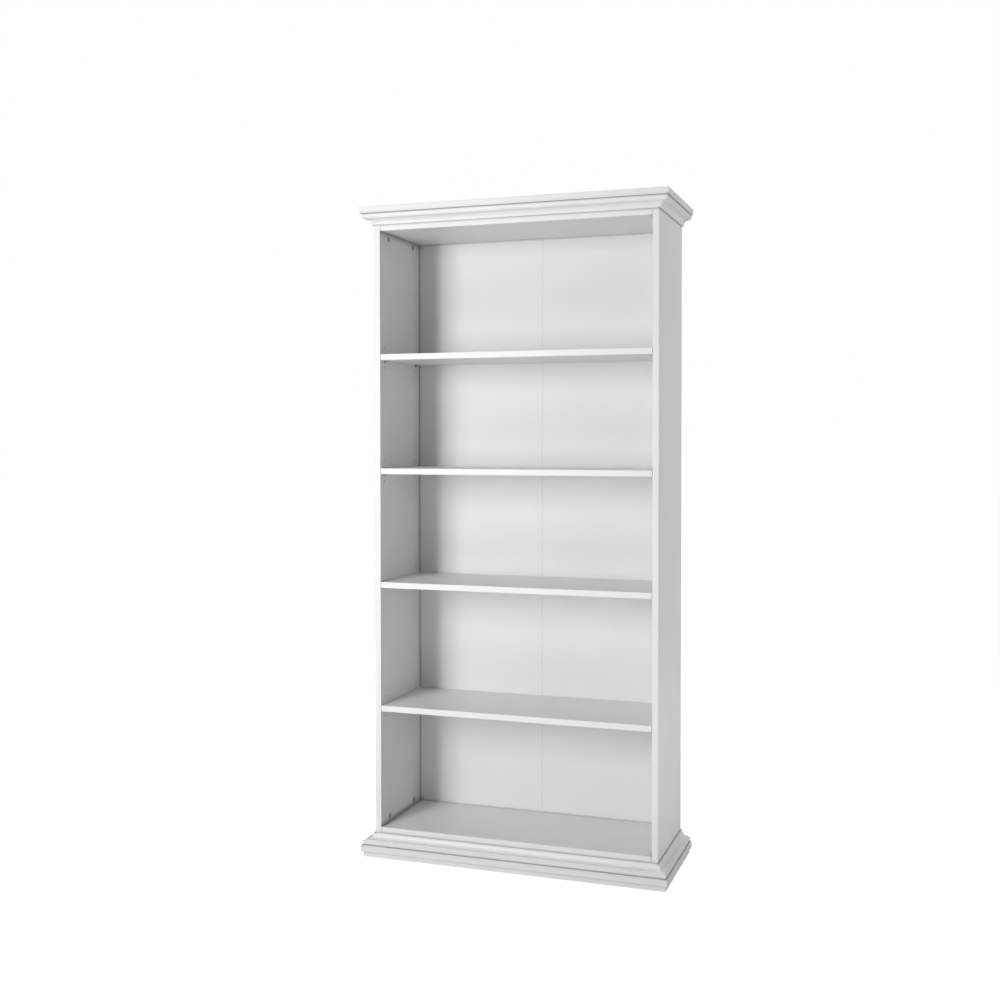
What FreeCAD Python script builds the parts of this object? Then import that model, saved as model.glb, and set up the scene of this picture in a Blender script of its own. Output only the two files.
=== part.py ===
"""Tall bookcase with four adjustable shelves, a coved cornice and a coved base.

Two side panels stand on a base frame and carry a cornice frame. A fixed top panel and a fixed
bottom shelf tie the sides together, and a thin back in two sheets slides into grooves in the sides.
Four shelves rest on plug-in supports whose pins sit in rows of holes on a 32 mm pitch.

X runs to the right, Y from front to back and Z up. The origin is on the floor, in the middle of the
whole bookcase. Left and right pieces are mirror images about X = 0. The base frame is the cornice
frame turned over, so it is mirrored about the middle height of the side panels.
"""
import FreeCAD, Part
import math
import os
import Sketcher

SIZES = {
    # carcass
    "carcass_width": 892,        # over the outside of both side panels
    "side_depth": 333,           # front to back of a side panel
    "side_height": 1882,         # length of a side panel
    "board": 18,                 # thickness of sides, shelves, fixed panels and rails
    "arris": 0.6,                # rounding along the long edges of sides, shelves and fixed panels
    # cornice board, base plate and plinth
    "top_board": 19,             # thickness of the cornice board
    "base_board": 20,            # thickness of the base plate
    "board_rounding": 1.5,       # rounding of the edges of both
    "plinth_height": 16,
    "plinth_width": 50,          # the plinth strips lie flat
    "plinth_setback": 6.5,       # plinth back from the base plate's edge
    # section of the cove mouldings, from the narrow end to the wide end
    "toe_width": 5.5,            # narrow end beyond the carcass
    "toe_height": 2,
    "cove_radius": 16,           # hollow quarter circle
    "quirk_width": 3.5,          # flat beyond the cove
    "quirk_height": 3,           # step up from that flat
    "fillet_width": 5,           # from the step to the moulding's face
    "fillet_height": 12,         # flat face at the wide end
    "fillet_setback": 5,         # that face back from the edge of the board next to it
    # shelves
    "hole_pitch": 32,            # step between shelf positions
    "lowest_pin": 388,           # lowest shelf's pins above the side panel's foot
    "steps_to_second": 12,       # hole steps from each shelf to the next one up
    "steps_to_third": 11,
    "steps_to_fourth": 11,
    "shelf_back_gap": 1.5,       # between a shelf and the back
    # shelf supports
    "pin_radius": 2.4,
    "pin_gap": 0.1,              # around the pin in its hole
    "pin_length": 8,
    "hole_end_gap": 1,           # beyond the tip of a pin or a bolt's thread
    "pin_front_inset": 32,       # front row of holes behind the side's front edge
    "pin_rear_inset": 63,        # rear row of holes ahead of the side's rear edge
    "support_plate": 1.2,        # thickness of the support's upright plate
    "support_gap": 0.3,          # between that plate and the shelf's end
    "support_width": 12,
    "support_reach": 10,         # ledge beyond the plate, under the shelf
    "ledge": 2,                  # thickness of the ledge
    "web_height": 6,             # web below the ledge
    "web_width": 4,
    # back
    "back_sheet": 3,
    "back_inset": 25,            # groove ahead of the side's rear edge
    "groove_depth": 8,
    "groove_gap": 0.2,           # the groove is this much wider than the sheet, at the front
    "sheet_end_gap": 0.5,        # between a sheet's edge and the bottom of its groove
    "joint_gap": 0.4,            # between the two sheets
    "strip_width": 30,
    "strip": 2,                  # thickness of the strip behind the joint
    "nail_radius": 0.8,
    "nail_gap": 0.1,             # around a nail in its hole
    "nail_length": 20,
    "nail_head_radius": 2,
    "nail_head": 0.8,
    "nail_inset": 60,            # outer nails in from the ends of the fixed panels
    # cam locks and their bolts
    "cam_radius": 7.35,
    "cam_gap": 0.15,             # around a cam in its bore
    "cam_inset": 34,             # cam centre from the board's end
    "cam_recess": 0.2,           # cam face below the board's face
    "cam_floor": 0.4,            # cam metal below the opening for the bolt
    "cam_seat_gap": 0.1,         # below the cam
    "cross_length": 9,           # cross slot in the cam's face
    "cross_width": 1.6,
    "cross_depth": 2,
    "bolt_head_radius": 3,
    "bolt_head": 3,              # length of the bolt's head
    "bolt_head_gap": 0.3,        # around the head in the cam
    "bolt_neck_radius": 1.9,
    "bolt_radius": 3.4,
    "bolt_gap": 0.6,             # around the bolt in its bore
    "thread_radius": 2.45,
    "thread_gap": 0.05,
    "thread_length": 10,
    "front_cams": 64,            # front cams behind the side's front edge
    "rear_cams": 81,             # rear cams ahead of the side's rear edge
    "panel_cam_shift": 32,       # fixed panel's cams, inward from the rows of the side's cams
    # dowels
    "dowel_radius": 3.95,
    "dowel_gap": 0.05,
    "dowel_length": 30,
    "dowel_chamfer": 1,
    "dowel_in_side": 12,         # depth of the dowel holes in the sides' inner faces and the rails
    "dowel_end_gap": 0.5,        # between a dowel's end and the bottom of its hole
    "side_dowel_shift": 20,      # outward from the rows of the side's cams
    "panel_dowel_shift": 40,
    # countersunk screws
    "screw_radius": 2,
    "screw_gap": 0.1,            # around a screw and its head
    "screw_head_radius": 4,
    "screw_head": 2.4,
    "screw_tip": 3,              # length of the tapered end
    "screw_point": 0.25,         # radius at the point
    "rail_screw_bite": 12,       # screw beyond the rail that it passes through
    "plinth_screw_bite": 14,     # the same beyond a plinth strip
    "screw_spare": 2,            # hole beyond the screw's tip
    "slot_length": 4.4,          # cross slot in the head
    "slot_width": 0.9,
    "slot_depth": 1.4,
    "rail_screw_shift": 48,      # inward from the rows of the side's cams
    "rail_screw_inset": 230,     # screws of the front and rear rails, in from the carcass's sides
    "plinth_screw_inset": 120,   # plinth screws in from the plinth's corners
    # drawing
    "past_the_edge": 1,          # an outline that cuts a mitre reaches this far beyond the moulding
}

NAILS_PER_SHEET = 3              # along the top of each sheet of the back, and along its foot
SPARE_HOLES = (-1, 0, 1)         # hole steps from a shelf's pins to the holes around them
LEAST_CUT = 0.1                  # volume that a pocket must take away

# Expressions on the sheet that several pieces share.
HALF_CARCASS = "(Sizes.carcass_width / 2)"
HALF_INNER = f"({HALF_CARCASS} - Sizes.board)"
REACH = "(Sizes.toe_width + Sizes.cove_radius + Sizes.quirk_width + Sizes.fillet_width)"
COVE_HEIGHT = ("(Sizes.toe_height + Sizes.cove_radius + Sizes.quirk_height"
               " + Sizes.fillet_height)")
OVERHANG = f"({REACH} + Sizes.fillet_setback)"
FRONT = f"(({OVERHANG} - Sizes.side_depth) / 2)"
REAR = f"({FRONT} + Sizes.side_depth)"
SIDE_FOOT = f"(Sizes.plinth_height + Sizes.base_board + {COVE_HEIGHT})"
SIDE_TOP = f"({SIDE_FOOT} + Sizes.side_height)"
MID_HEIGHT = f"({SIDE_FOOT} + Sizes.side_height / 2)"
SIDE_MIDDLE = f"({HALF_CARCASS} - Sizes.board / 2)"
BACK_FACE = "(Sizes.side_depth - Sizes.back_inset - Sizes.back_sheet)"
PIN_ROWS = ("Sizes.pin_front_inset", "(Sizes.side_depth - Sizes.pin_rear_inset)")
PIN_HOLE = "(Sizes.pin_radius + Sizes.pin_gap)"
NAIL_HOLE = "(Sizes.nail_radius + Sizes.nail_gap)"
NAIL_PITCH = f"(2 * ({HALF_INNER} - Sizes.nail_inset) / {2 * NAILS_PER_SHEET - 1})"
CAM_BORE = "(Sizes.cam_radius + Sizes.cam_gap)"
CAM_CHANNEL = "(Sizes.bolt_head_radius + Sizes.bolt_head_gap)"
CAM_HEIGHT = f"(Sizes.board / 2 + {CAM_CHANNEL} + Sizes.cam_floor - Sizes.cam_recess)"
CAM_BORE_DEPTH = f"({CAM_HEIGHT} + Sizes.cam_recess + Sizes.cam_seat_gap)"
BOLT_HOLE = "(Sizes.bolt_radius + Sizes.bolt_gap)"
THREAD_HOLE = "(Sizes.thread_radius + Sizes.thread_gap)"
THREAD_HOLE_DEPTH = "(Sizes.thread_length + Sizes.hole_end_gap)"
DOWEL_HOLE = "(Sizes.dowel_radius + Sizes.dowel_gap)"
DOWEL_IN_END = "(Sizes.dowel_length - Sizes.dowel_in_side + 2 * Sizes.dowel_end_gap)"
RAIL_SCREW = f"({COVE_HEIGHT} + Sizes.rail_screw_bite)"
PLINTH_SCREW = "(Sizes.plinth_height + Sizes.plinth_screw_bite)"
SHELF_STEPS = (
    "0",
    "Sizes.steps_to_second",
    "(Sizes.steps_to_second + Sizes.steps_to_third)",
    "(Sizes.steps_to_second + Sizes.steps_to_third + Sizes.steps_to_fourth)",
)

# How points of a sketch's elements are numbered.
SKETCH_ORIGIN = (-1, 1)
START, END, CENTRE = 1, 2, 3

# Each turns local Z to the direction in its name.
ALONG_X = FreeCAD.Rotation(FreeCAD.Vector(0, 1, 0), 90)
ALONG_MINUS_X = FreeCAD.Rotation(FreeCAD.Vector(0, 1, 0), -90)
ALONG_MINUS_Y = FreeCAD.Rotation(FreeCAD.Vector(1, 0, 0), 90)
UPRIGHT = FreeCAD.Rotation()

doc = FreeCAD.newDocument("Bookcase")
sub_parts = []


# ---------------------------------------------------------------- document helpers

def make_sheet():
    """Put every driving size in one spreadsheet, each cell with its alias."""
    sheet = doc.addObject("Spreadsheet::Sheet", "Sizes")
    for row, (alias, value) in enumerate(SIZES.items(), start=1):
        sheet.set(f"A{row}", alias)
        sheet.set(f"B{row}", str(value))
        sheet.setAlias(f"B{row}", alias)
    doc.recompute()
    return sheet


def value_of(expression):
    """The number that an expression on the sheet gives now."""
    return float(sizes.evalExpression(expression))


def sub_part(piece, label):
    """Name a finished piece and list it for export."""
    piece.Label = label
    sub_parts.append(piece)
    return piece


def place(piece, x, y, z, turned=UPRIGHT):
    """Turn a piece and bind its position to three expressions."""
    piece.Placement = FreeCAD.Placement(FreeCAD.Vector(), turned)
    for axis, expression in zip("xyz", (x, y, z)):
        piece.setExpression(f"Placement.Base.{axis}", str(expression))
    return piece


def primitive(kind, name, **sizes_of_piece):
    """A Part primitive whose properties are bound to expressions."""
    piece = doc.addObject(f"Part::{kind}", name)
    for size, expression in sizes_of_piece.items():
        piece.setExpression(size, str(expression))
    return piece


def box(name, length, width, height):
    return primitive("Box", name, Length=length, Width=width, Height=height)


def cylinder(name, radius, height):
    return primitive("Cylinder", name, Radius=radius, Height=height)


def cone(name, radius_low, radius_high, height):
    return primitive("Cone", name, Radius1=radius_low, Radius2=radius_high, Height=height)


def joined(name, pieces):
    """One solid from several that overlap or meet."""
    whole = doc.addObject("Part::MultiFuse", name)
    whole.Shapes = pieces
    return whole


def grouped(name, pieces):
    """Separate solids that are handled together."""
    group = doc.addObject("Part::Compound", name)
    group.Links = pieces
    return group


def cut(name, base, tools):
    """A piece with a group of tools taken out of it."""
    result = doc.addObject("Part::Cut", name)
    result.Base = base
    result.Tool = grouped(f"{name}_tools", tools)
    return result


def mirrored(source, name, normal):
    """Mirror image about X = 0, or about the middle height of the side panels."""
    image = doc.addObject("Part::Mirroring", name)
    image.Source = source
    image.Normal = normal
    image.setExpression("Base.z", MID_HEIGHT)
    return image


def left_to_right(source, name):
    return mirrored(source, name, FreeCAD.Vector(1, 0, 0))


def top_to_bottom(source, name):
    return mirrored(source, name, FreeCAD.Vector(0, 0, 1))


# ---------------------------------------------------------------- sketch helpers

def new_body(name):
    return doc.addObject("PartDesign::Body", name)


def new_sketch(body, name, plane, offset="0"):
    """A sketch on one of the body's own origin planes, moved along that plane's normal."""
    sketch = body.newObject("Sketcher::SketchObject", name)
    support = [feature for feature in body.Origin.OriginFeatures if feature.Role == plane][0]
    sketch.AttachmentSupport = (support, "")
    sketch.MapMode = "FlatFace"
    sketch.setExpression("AttachmentOffset.Base.z", str(offset))
    return sketch


def bind(sketch, kind, elements, expression):
    """A dimension of a sketch, bound to an expression."""
    index = sketch.addConstraint(Sketcher.Constraint(kind, *elements, value_of(expression)))
    sketch.setExpression(f"Constraints[{index}]", str(expression))


def fix_point(sketch, geometry, end, x, y):
    """Hold one end or centre of a sketch element at two expressions."""
    bind(sketch, "DistanceX", (*SKETCH_ORIGIN, geometry, end), x)
    bind(sketch, "DistanceY", (*SKETCH_ORIGIN, geometry, end), y)


def draw_outline(sketch, points, arcs=None):
    """A closed outline through points, straight except where arcs names a centre.

    arcs maps the number of an edge to the centre of its quarter circle, which runs
    counter-clockwise, as a sketch keeps every arc.
    """
    arcs = arcs or {}
    first = sketch.GeometryCount
    spots = [FreeCAD.Vector(value_of(x), value_of(y), 0) for x, y in points]
    for number, here in enumerate(spots):
        there = spots[(number + 1) % len(spots)]
        if number in arcs:
            x, y = arcs[number]
            centre = FreeCAD.Vector(value_of(x), value_of(y), 0)
            outwards = ((here + there) / 2 - centre).normalize()
            edge = Part.Arc(here, centre + outwards * (here - centre).Length, there)
        else:
            edge = Part.LineSegment(here, there)
        sketch.addGeometry(edge, False)
    for number, (x, y) in enumerate(points):
        following = (number + 1) % len(points)
        sketch.addConstraint(Sketcher.Constraint(
            "Coincident", first + number, END, first + following, START))
        fix_point(sketch, first + number, START, x, y)
    for number, (x, y) in arcs.items():
        bind(sketch, "DistanceX", (*SKETCH_ORIGIN, first + number, CENTRE), x)


def draw_rectangle(sketch, x_low, x_high, y_low, y_high):
    draw_outline(sketch, [(x_low, y_low), (x_high, y_low), (x_high, y_high), (x_low, y_high)])


def draw_circle(sketch, x, y, radius):
    spot = FreeCAD.Vector(value_of(x), value_of(y), 0)
    number = sketch.addGeometry(
        Part.Circle(spot, FreeCAD.Vector(0, 0, 1), value_of(radius)), False)
    fix_point(sketch, number, CENTRE, x, y)
    bind(sketch, "Radius", (number,), radius)


def pad(body, sketch, length, backwards=False):
    feature = body.newObject("PartDesign::Pad", f"{sketch.Name}_pad")
    feature.Profile = sketch
    feature.setExpression("Length", str(length))
    feature.Reversed = backwards
    doc.recompute()
    return feature


def pocket(body, sketch, depth, backwards=False):
    """Cut a sketch into the body and make sure that it took something away."""
    before = body.Shape.Volume
    feature = body.newObject("PartDesign::Pocket", f"{sketch.Name}_pocket")
    feature.Profile = sketch
    feature.setExpression("Length", str(depth))
    feature.Reversed = backwards
    doc.recompute()
    if not body.Shape.Volume < before - LEAST_CUT:
        raise RuntimeError(f"{feature.Name} cuts nothing")
    return feature


def drill(body, name, plane, offset, spots, radius, depth, backwards=False):
    """Blind round holes of one radius, at spots in one plane."""
    sketch = new_sketch(body, name, plane, offset)
    for x, y in spots:
        draw_circle(sketch, x, y, radius)
    return pocket(body, sketch, depth, backwards)


def soften(body, feature, radius, wanted):
    """Round those edges of a feature for which wanted(edge) holds."""
    names = [f"Edge{number}" for number, edge in enumerate(feature.Shape.Edges, start=1)
             if wanted(edge)]
    rounding = body.newObject("PartDesign::Fillet", f"{feature.Name}_rounding")
    rounding.Base = (feature, names)
    rounding.setExpression("Radius", radius)
    doc.recompute()


def runs_along(axis):
    """A test for straight edges parallel to an axis."""
    def wanted(edge):
        return math.isclose(abs(edge.tangentAt(edge.FirstParameter).dot(axis)), 1)
    return wanted


def board(name, plane, outline, thickness, grain):
    """A body padded from a rectangle, with the edges along its grain rounded."""
    body = new_body(name)
    sketch = new_sketch(body, f"{name}_outline", plane)
    draw_rectangle(sketch, *outline)
    soften(body, pad(body, sketch, thickness), "Sizes.arris", runs_along(grain))
    return body


# ---------------------------------------------------------------- fasteners

def screw(name, length):
    """Countersunk screw pointing up, its head's face at the origin."""
    head = cone(f"{name}_head", "Sizes.screw_head_radius", "Sizes.screw_radius", "Sizes.screw_head")
    shank = cylinder(f"{name}_shank", "Sizes.screw_radius",
                     f"{length} - Sizes.screw_head - Sizes.screw_tip")
    place(shank, 0, 0, "Sizes.screw_head")
    tip = cone(f"{name}_tip", "Sizes.screw_radius", "Sizes.screw_point", "Sizes.screw_tip")
    place(tip, 0, 0, f"{length} - Sizes.screw_tip")
    across = box(f"{name}_slot_a", "Sizes.slot_length", "Sizes.slot_width", "Sizes.slot_depth")
    place(across, "-Sizes.slot_length / 2", "-Sizes.slot_width / 2", 0)
    along = box(f"{name}_slot_b", "Sizes.slot_width", "Sizes.slot_length", "Sizes.slot_depth")
    place(along, "-Sizes.slot_width / 2", "-Sizes.slot_length / 2", 0)
    blank = joined(f"{name}_blank", [head, shank, tip])
    return cut(name, blank, [joined(f"{name}_cross", [across, along])])


def screw_hole(name, length, x, y, z):
    """The room that a screw takes in the boards: a countersink and a straight hole."""
    hole_radius = "Sizes.screw_radius + Sizes.screw_gap"
    seat = cone(f"{name}_seat", "Sizes.screw_head_radius + Sizes.screw_gap", hole_radius,
                "Sizes.screw_head + Sizes.screw_gap")
    place(seat, x, y, z)
    hole = cylinder(f"{name}_bore", hole_radius, f"{length} + Sizes.screw_spare")
    place(hole, x, y, z)
    return joined(name, [seat, hole])


def dowel(name):
    """Wooden dowel with chamfered ends, standing on the origin."""
    chamfer = "Sizes.dowel_chamfer"
    tip_radius = f"Sizes.dowel_radius - {chamfer}"
    low = cone(f"{name}_low", tip_radius, "Sizes.dowel_radius", chamfer)
    middle = cylinder(f"{name}_middle", "Sizes.dowel_radius",
                      f"Sizes.dowel_length - 2 * {chamfer}")
    place(middle, 0, 0, chamfer)
    high = cone(f"{name}_high", "Sizes.dowel_radius", tip_radius, chamfer)
    place(high, 0, 0, f"Sizes.dowel_length - {chamfer}")
    return joined(name, [low, middle, high])


def cam_lock(name):
    """Cam disc below the origin, its slotted face up and its opening towards local -X."""
    disc = cylinder(f"{name}_disc", "Sizes.cam_radius", CAM_HEIGHT)
    place(disc, 0, 0, f"-{CAM_HEIGHT}")
    opening = cylinder(f"{name}_opening", CAM_CHANNEL, "Sizes.cam_radius + Sizes.bolt_head")
    place(opening, "Sizes.bolt_head", 0, "Sizes.cam_recess - Sizes.board / 2", ALONG_MINUS_X)
    cross_length, cross_width = "Sizes.cross_length", "Sizes.cross_width"
    across = box(f"{name}_slot_a", cross_length, cross_width, "Sizes.cross_depth")
    place(across, f"-{cross_length} / 2", f"-{cross_width} / 2", "-Sizes.cross_depth")
    along = box(f"{name}_slot_b", cross_width, cross_length, "Sizes.cross_depth")
    place(along, f"-{cross_width} / 2", f"-{cross_length} / 2", "-Sizes.cross_depth")
    return cut(name, disc, [joined(f"{name}_hollow", [opening, across, along])])


def cam_bolt(name):
    """Bolt standing on the cam's centre: head, neck, shank to the joint, then thread."""
    head = cylinder(f"{name}_head", "Sizes.bolt_head_radius", "Sizes.bolt_head")
    place(head, 0, 0, "-Sizes.bolt_head / 2")
    neck = cylinder(f"{name}_neck", "Sizes.bolt_neck_radius", CAM_BORE)
    shank = cylinder(f"{name}_shank", "Sizes.bolt_radius", f"Sizes.cam_inset - {CAM_BORE}")
    place(shank, 0, 0, CAM_BORE)
    thread = cylinder(f"{name}_thread", "Sizes.thread_radius", "Sizes.thread_length")
    place(thread, 0, 0, "Sizes.cam_inset")
    return joined(name, [head, neck, shank, thread])


def nail(name):
    """Nail pointing to the front, the underside of its head at the origin."""
    wire = cylinder(f"{name}_wire", "Sizes.nail_radius", "Sizes.nail_length")
    place(wire, 0, 0, 0, ALONG_MINUS_Y)
    head = cylinder(f"{name}_head", "Sizes.nail_head_radius", "Sizes.nail_head")
    place(head, 0, "Sizes.nail_head", 0, ALONG_MINUS_Y)
    return joined(name, [wire, head])


# ---------------------------------------------------------------- carcass

def side_rows(shift):
    """Front and rear rows of a side's fastenings, shifted towards each other."""
    return (f"(Sizes.front_cams + {shift})", f"(Sizes.side_depth - Sizes.rear_cams - {shift})")


def shelf_pin_height(steps):
    """Height of a shelf's pins above the side panel's foot."""
    return f"(Sizes.lowest_pin + {steps} * Sizes.hole_pitch)"


def make_side_panels():
    """Side panel: grooved for the back, bored for pins, cams, bolts and dowels."""
    body = board("left_side", "YZ_Plane", ("0", "Sizes.side_depth", "0", "Sizes.side_height"),
                 "Sizes.board", FreeCAD.Vector(0, 0, 1))
    inner_face = ("YZ_Plane", "Sizes.board")

    groove = new_sketch(body, "groove", *inner_face)
    draw_rectangle(groove, f"{BACK_FACE} - Sizes.groove_gap", f"{BACK_FACE} + Sizes.back_sheet",
                   "0", "Sizes.side_height")
    pocket(body, groove, "Sizes.groove_depth")

    pin_holes = []
    for steps in SHELF_STEPS:
        for spare in SPARE_HOLES:
            height = f"{shelf_pin_height(steps)} + {spare} * Sizes.hole_pitch"
            pin_holes += [(row, height) for row in PIN_ROWS]
    pin_hole_depth = "Sizes.pin_length + Sizes.hole_end_gap"
    drill(body, "pin_holes", *inner_face, pin_holes, PIN_HOLE, pin_hole_depth)

    ends = ("Sizes.cam_inset", "Sizes.side_height - Sizes.cam_inset")
    cams = [(row, height) for row in side_rows("0") for height in ends]
    drill(body, "cam_bores", *inner_face, cams, CAM_BORE, CAM_BORE_DEPTH)

    middles = ("Sizes.board / 2", "Sizes.side_height - Sizes.board / 2")
    bolts = [(row, height) for row in side_rows("Sizes.panel_cam_shift") for height in middles]
    drill(body, "panel_bolt_holes", *inner_face, bolts, THREAD_HOLE, THREAD_HOLE_DEPTH)
    dowels = [(row, height) for row in side_rows("-Sizes.panel_dowel_shift")
              for height in middles]
    drill(body, "panel_dowel_holes", *inner_face, dowels, DOWEL_HOLE, "Sizes.dowel_in_side")

    for end, offset, backwards in (("foot", "0", True), ("head", "Sizes.side_height", False)):
        bores = [("Sizes.board / 2", row) for row in side_rows("0")]
        drill(body, f"bolt_bores_{end}", "XY_Plane", offset, bores, BOLT_HOLE,
              "Sizes.cam_inset", backwards)
        dowel_holes = [("Sizes.board / 2", row) for row in side_rows("-Sizes.side_dowel_shift")]
        drill(body, f"dowel_holes_{end}", "XY_Plane", offset, dowel_holes, DOWEL_HOLE,
              DOWEL_IN_END, backwards)

    place(body, f"-{HALF_CARCASS}", FRONT, SIDE_FOOT)
    sub_part(body, "left_side_panel")
    sub_part(left_to_right(body, "right_side"), "right_side_panel")


def make_fixed_panels():
    """Top panel, bored on its hidden upper face and in its ends. The bottom shelf is the same."""
    body = board("fixed_panel", "XY_Plane", (f"-{HALF_INNER}", HALF_INNER, "0", BACK_FACE),
                 "Sizes.board", FreeCAD.Vector(1, 0, 0))
    cam_x = f"({HALF_INNER} - Sizes.cam_inset)"
    cams = [(f"{hand} * {cam_x}", row) for hand in (-1, 1)
            for row in side_rows("Sizes.panel_cam_shift")]
    drill(body, "fixed_cam_bores", "XY_Plane", "Sizes.board", cams, CAM_BORE, CAM_BORE_DEPTH)
    for end, offset, backwards in (("left", f"-{HALF_INNER}", True), ("right", HALF_INNER, False)):
        bores = [(row, "Sizes.board / 2") for row in side_rows("Sizes.panel_cam_shift")]
        drill(body, f"fixed_bolt_bores_{end}", "YZ_Plane", offset, bores, BOLT_HOLE,
              "Sizes.cam_inset", backwards)
        dowel_holes = [(row, "Sizes.board / 2") for row in side_rows("-Sizes.panel_dowel_shift")]
        drill(body, f"fixed_dowel_holes_{end}", "YZ_Plane", offset, dowel_holes, DOWEL_HOLE,
              DOWEL_IN_END, backwards)
    nail_holes = [(x, "Sizes.board / 2") for x in nail_places(both_sheets=True)]
    # The normal of this plane points to the front, so its offset is turned round.
    drill(body, "fixed_nail_holes", "XZ_Plane", f"-{BACK_FACE}", nail_holes, NAIL_HOLE,
          "Sizes.nail_length", backwards=True)
    place(body, 0, FRONT, f"{SIDE_TOP} - Sizes.board")
    sub_part(body, "top_panel")
    sub_part(top_to_bottom(body, "bottom_panel"), "bottom_shelf")


def make_shelves():
    """Four equal shelves, each with its front edge in line with the sides'."""
    half_length = f"({HALF_INNER} - Sizes.support_plate - Sizes.support_gap)"
    depth = f"({BACK_FACE} - Sizes.shelf_back_gap)"
    for number, steps in enumerate(SHELF_STEPS, start=1):
        body = board(f"shelf_board_{number}", "XY_Plane",
                     (f"-{half_length}", half_length, "0", depth),
                     "Sizes.board", FreeCAD.Vector(1, 0, 0))
        place(body, 0, FRONT, f"{SIDE_FOOT} + {shelf_pin_height(steps)} - Sizes.board / 2")
        sub_part(body, f"shelf_{number}")


def nail_places(both_sheets=False):
    """Nail positions across the left sheet of the back, or across both sheets."""
    outer = f"({HALF_INNER} - Sizes.nail_inset)"
    places = [f"-{outer} + {number} * {NAIL_PITCH}" for number in range(NAILS_PER_SHEET)]
    if both_sheets:
        places += [f"{outer} - {number} * {NAIL_PITCH}" for number in range(NAILS_PER_SHEET)]
    return places


def make_back():
    """Two thin sheets in the sides' grooves, and the strip behind the joint between them."""
    body = new_body("left_sheet")
    # The normal of this plane points to the front, so the sheet is padded forwards from its rear.
    outline = new_sketch(body, "sheet_outline", "XZ_Plane", "-Sizes.back_sheet")
    draw_rectangle(outline, f"-({HALF_INNER} + Sizes.groove_depth - Sizes.sheet_end_gap)",
                   "-Sizes.joint_gap / 2", "0", "Sizes.side_height")
    pad(body, outline, "Sizes.back_sheet")
    holes = [(x, height) for x in nail_places()
             for height in ("Sizes.board / 2", "Sizes.side_height - Sizes.board / 2")]
    drill(body, "sheet_nail_holes", "XZ_Plane", "0", holes, NAIL_HOLE, "Sizes.back_sheet")
    place(body, 0, f"{FRONT} + {BACK_FACE}", SIDE_FOOT)
    sub_part(body, "back_panel_left")
    sub_part(left_to_right(body, "right_sheet"), "back_panel_right")

    strip = box("strip", "Sizes.strip_width", "Sizes.strip", "Sizes.side_height")
    place(strip, "-Sizes.strip_width / 2", f"{FRONT} + {BACK_FACE} + Sizes.back_sheet", SIDE_FOOT)
    sub_part(strip, "back_joint_strip")


def shelf_support(name):
    """Left-hand support, its pin's axis at the origin on the side panel's inner face."""
    body = new_body(name)
    under_shelf = "-Sizes.board / 2"
    under_ledge = f"({under_shelf} - Sizes.ledge)"
    reach = "(Sizes.support_plate + Sizes.support_reach)"
    # The normal of this plane points to the front, so each outline starts at its rear.
    profile = new_sketch(body, f"{name}_profile", "XZ_Plane", "-Sizes.support_width / 2")
    draw_outline(profile, [
        ("0", under_ledge), (reach, under_ledge), (reach, under_shelf),
        ("Sizes.support_plate", under_shelf), ("Sizes.support_plate", "Sizes.support_width / 2"),
        ("0", "Sizes.support_width / 2")])
    pad(body, profile, "Sizes.support_width")
    web = new_sketch(body, f"{name}_web", "XZ_Plane", "-Sizes.web_width / 2")
    draw_outline(web, [
        ("0", under_ledge), ("0", f"{under_ledge} - Sizes.web_height"), (reach, under_ledge)])
    pad(body, web, "Sizes.web_width")
    pin = new_sketch(body, f"{name}_pin", "YZ_Plane")
    draw_circle(pin, "0", "0", "Sizes.pin_radius")
    pad(body, pin, "Sizes.pin_length", backwards=True)
    return body


def make_shelf_supports():
    """Four supports under each shelf, plugged into both sides."""
    for number, steps in enumerate(SHELF_STEPS, start=1):
        left = []
        for row_number, row in enumerate(PIN_ROWS, start=1):
            support = shelf_support(f"support_{number}_{row_number}")
            place(support, f"-{HALF_INNER}", f"{FRONT} + {row}",
                  f"{SIDE_FOOT} + {shelf_pin_height(steps)}")
            left.append(support)
        pair = grouped(f"supports_left_{number}", left)
        right = left_to_right(pair, f"supports_right_{number}")
        sub_part(grouped(f"supports_{number}", [pair, right]), f"shelf_{number}_supports")


# ---------------------------------------------------------------- cornice and base frames

def cove_profile(sketch):
    """Section of the moulding: outwards is negative, and the narrow end is at zero height."""
    toe = "-Sizes.toe_width"
    cove_end = f"({toe} - Sizes.cove_radius)"
    quirk = f"({cove_end} - Sizes.quirk_width)"
    cove_top = "(Sizes.toe_height + Sizes.cove_radius)"
    quirk_top = f"({cove_top} + Sizes.quirk_height)"
    points = [
        ("0", "0"), (toe, "0"), (toe, "Sizes.toe_height"), (cove_end, cove_top),
        (quirk, cove_top), (quirk, quirk_top), (f"-{REACH}", quirk_top),
        (f"-{REACH}", COVE_HEIGHT), ("0", COVE_HEIGHT)]
    draw_outline(sketch, points, arcs={2: (cove_end, "Sizes.toe_height")})


def front_moulding():
    """Cove moulding across the front, mitred at both ends."""
    body = new_body("front_cove")
    profile = new_sketch(body, "front_cove_profile", "YZ_Plane", f"-({HALF_CARCASS} + {REACH})")
    cove_profile(profile)
    pad(body, profile, f"2 * ({HALF_CARCASS} + {REACH})")
    mitres = new_sketch(body, "front_mitres", "XY_Plane")
    beyond = f"({REACH} + Sizes.past_the_edge)"
    for hand in ("-", ""):
        corner, outer = f"{hand}{HALF_CARCASS}", f"{hand}({HALF_CARCASS} + {beyond})"
        draw_outline(mitres, [(corner, "0"), (outer, "0"), (outer, f"-{beyond}")])
    pocket(body, mitres, COVE_HEIGHT, backwards=True)
    return place(body, 0, FRONT, SIDE_TOP)


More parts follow.
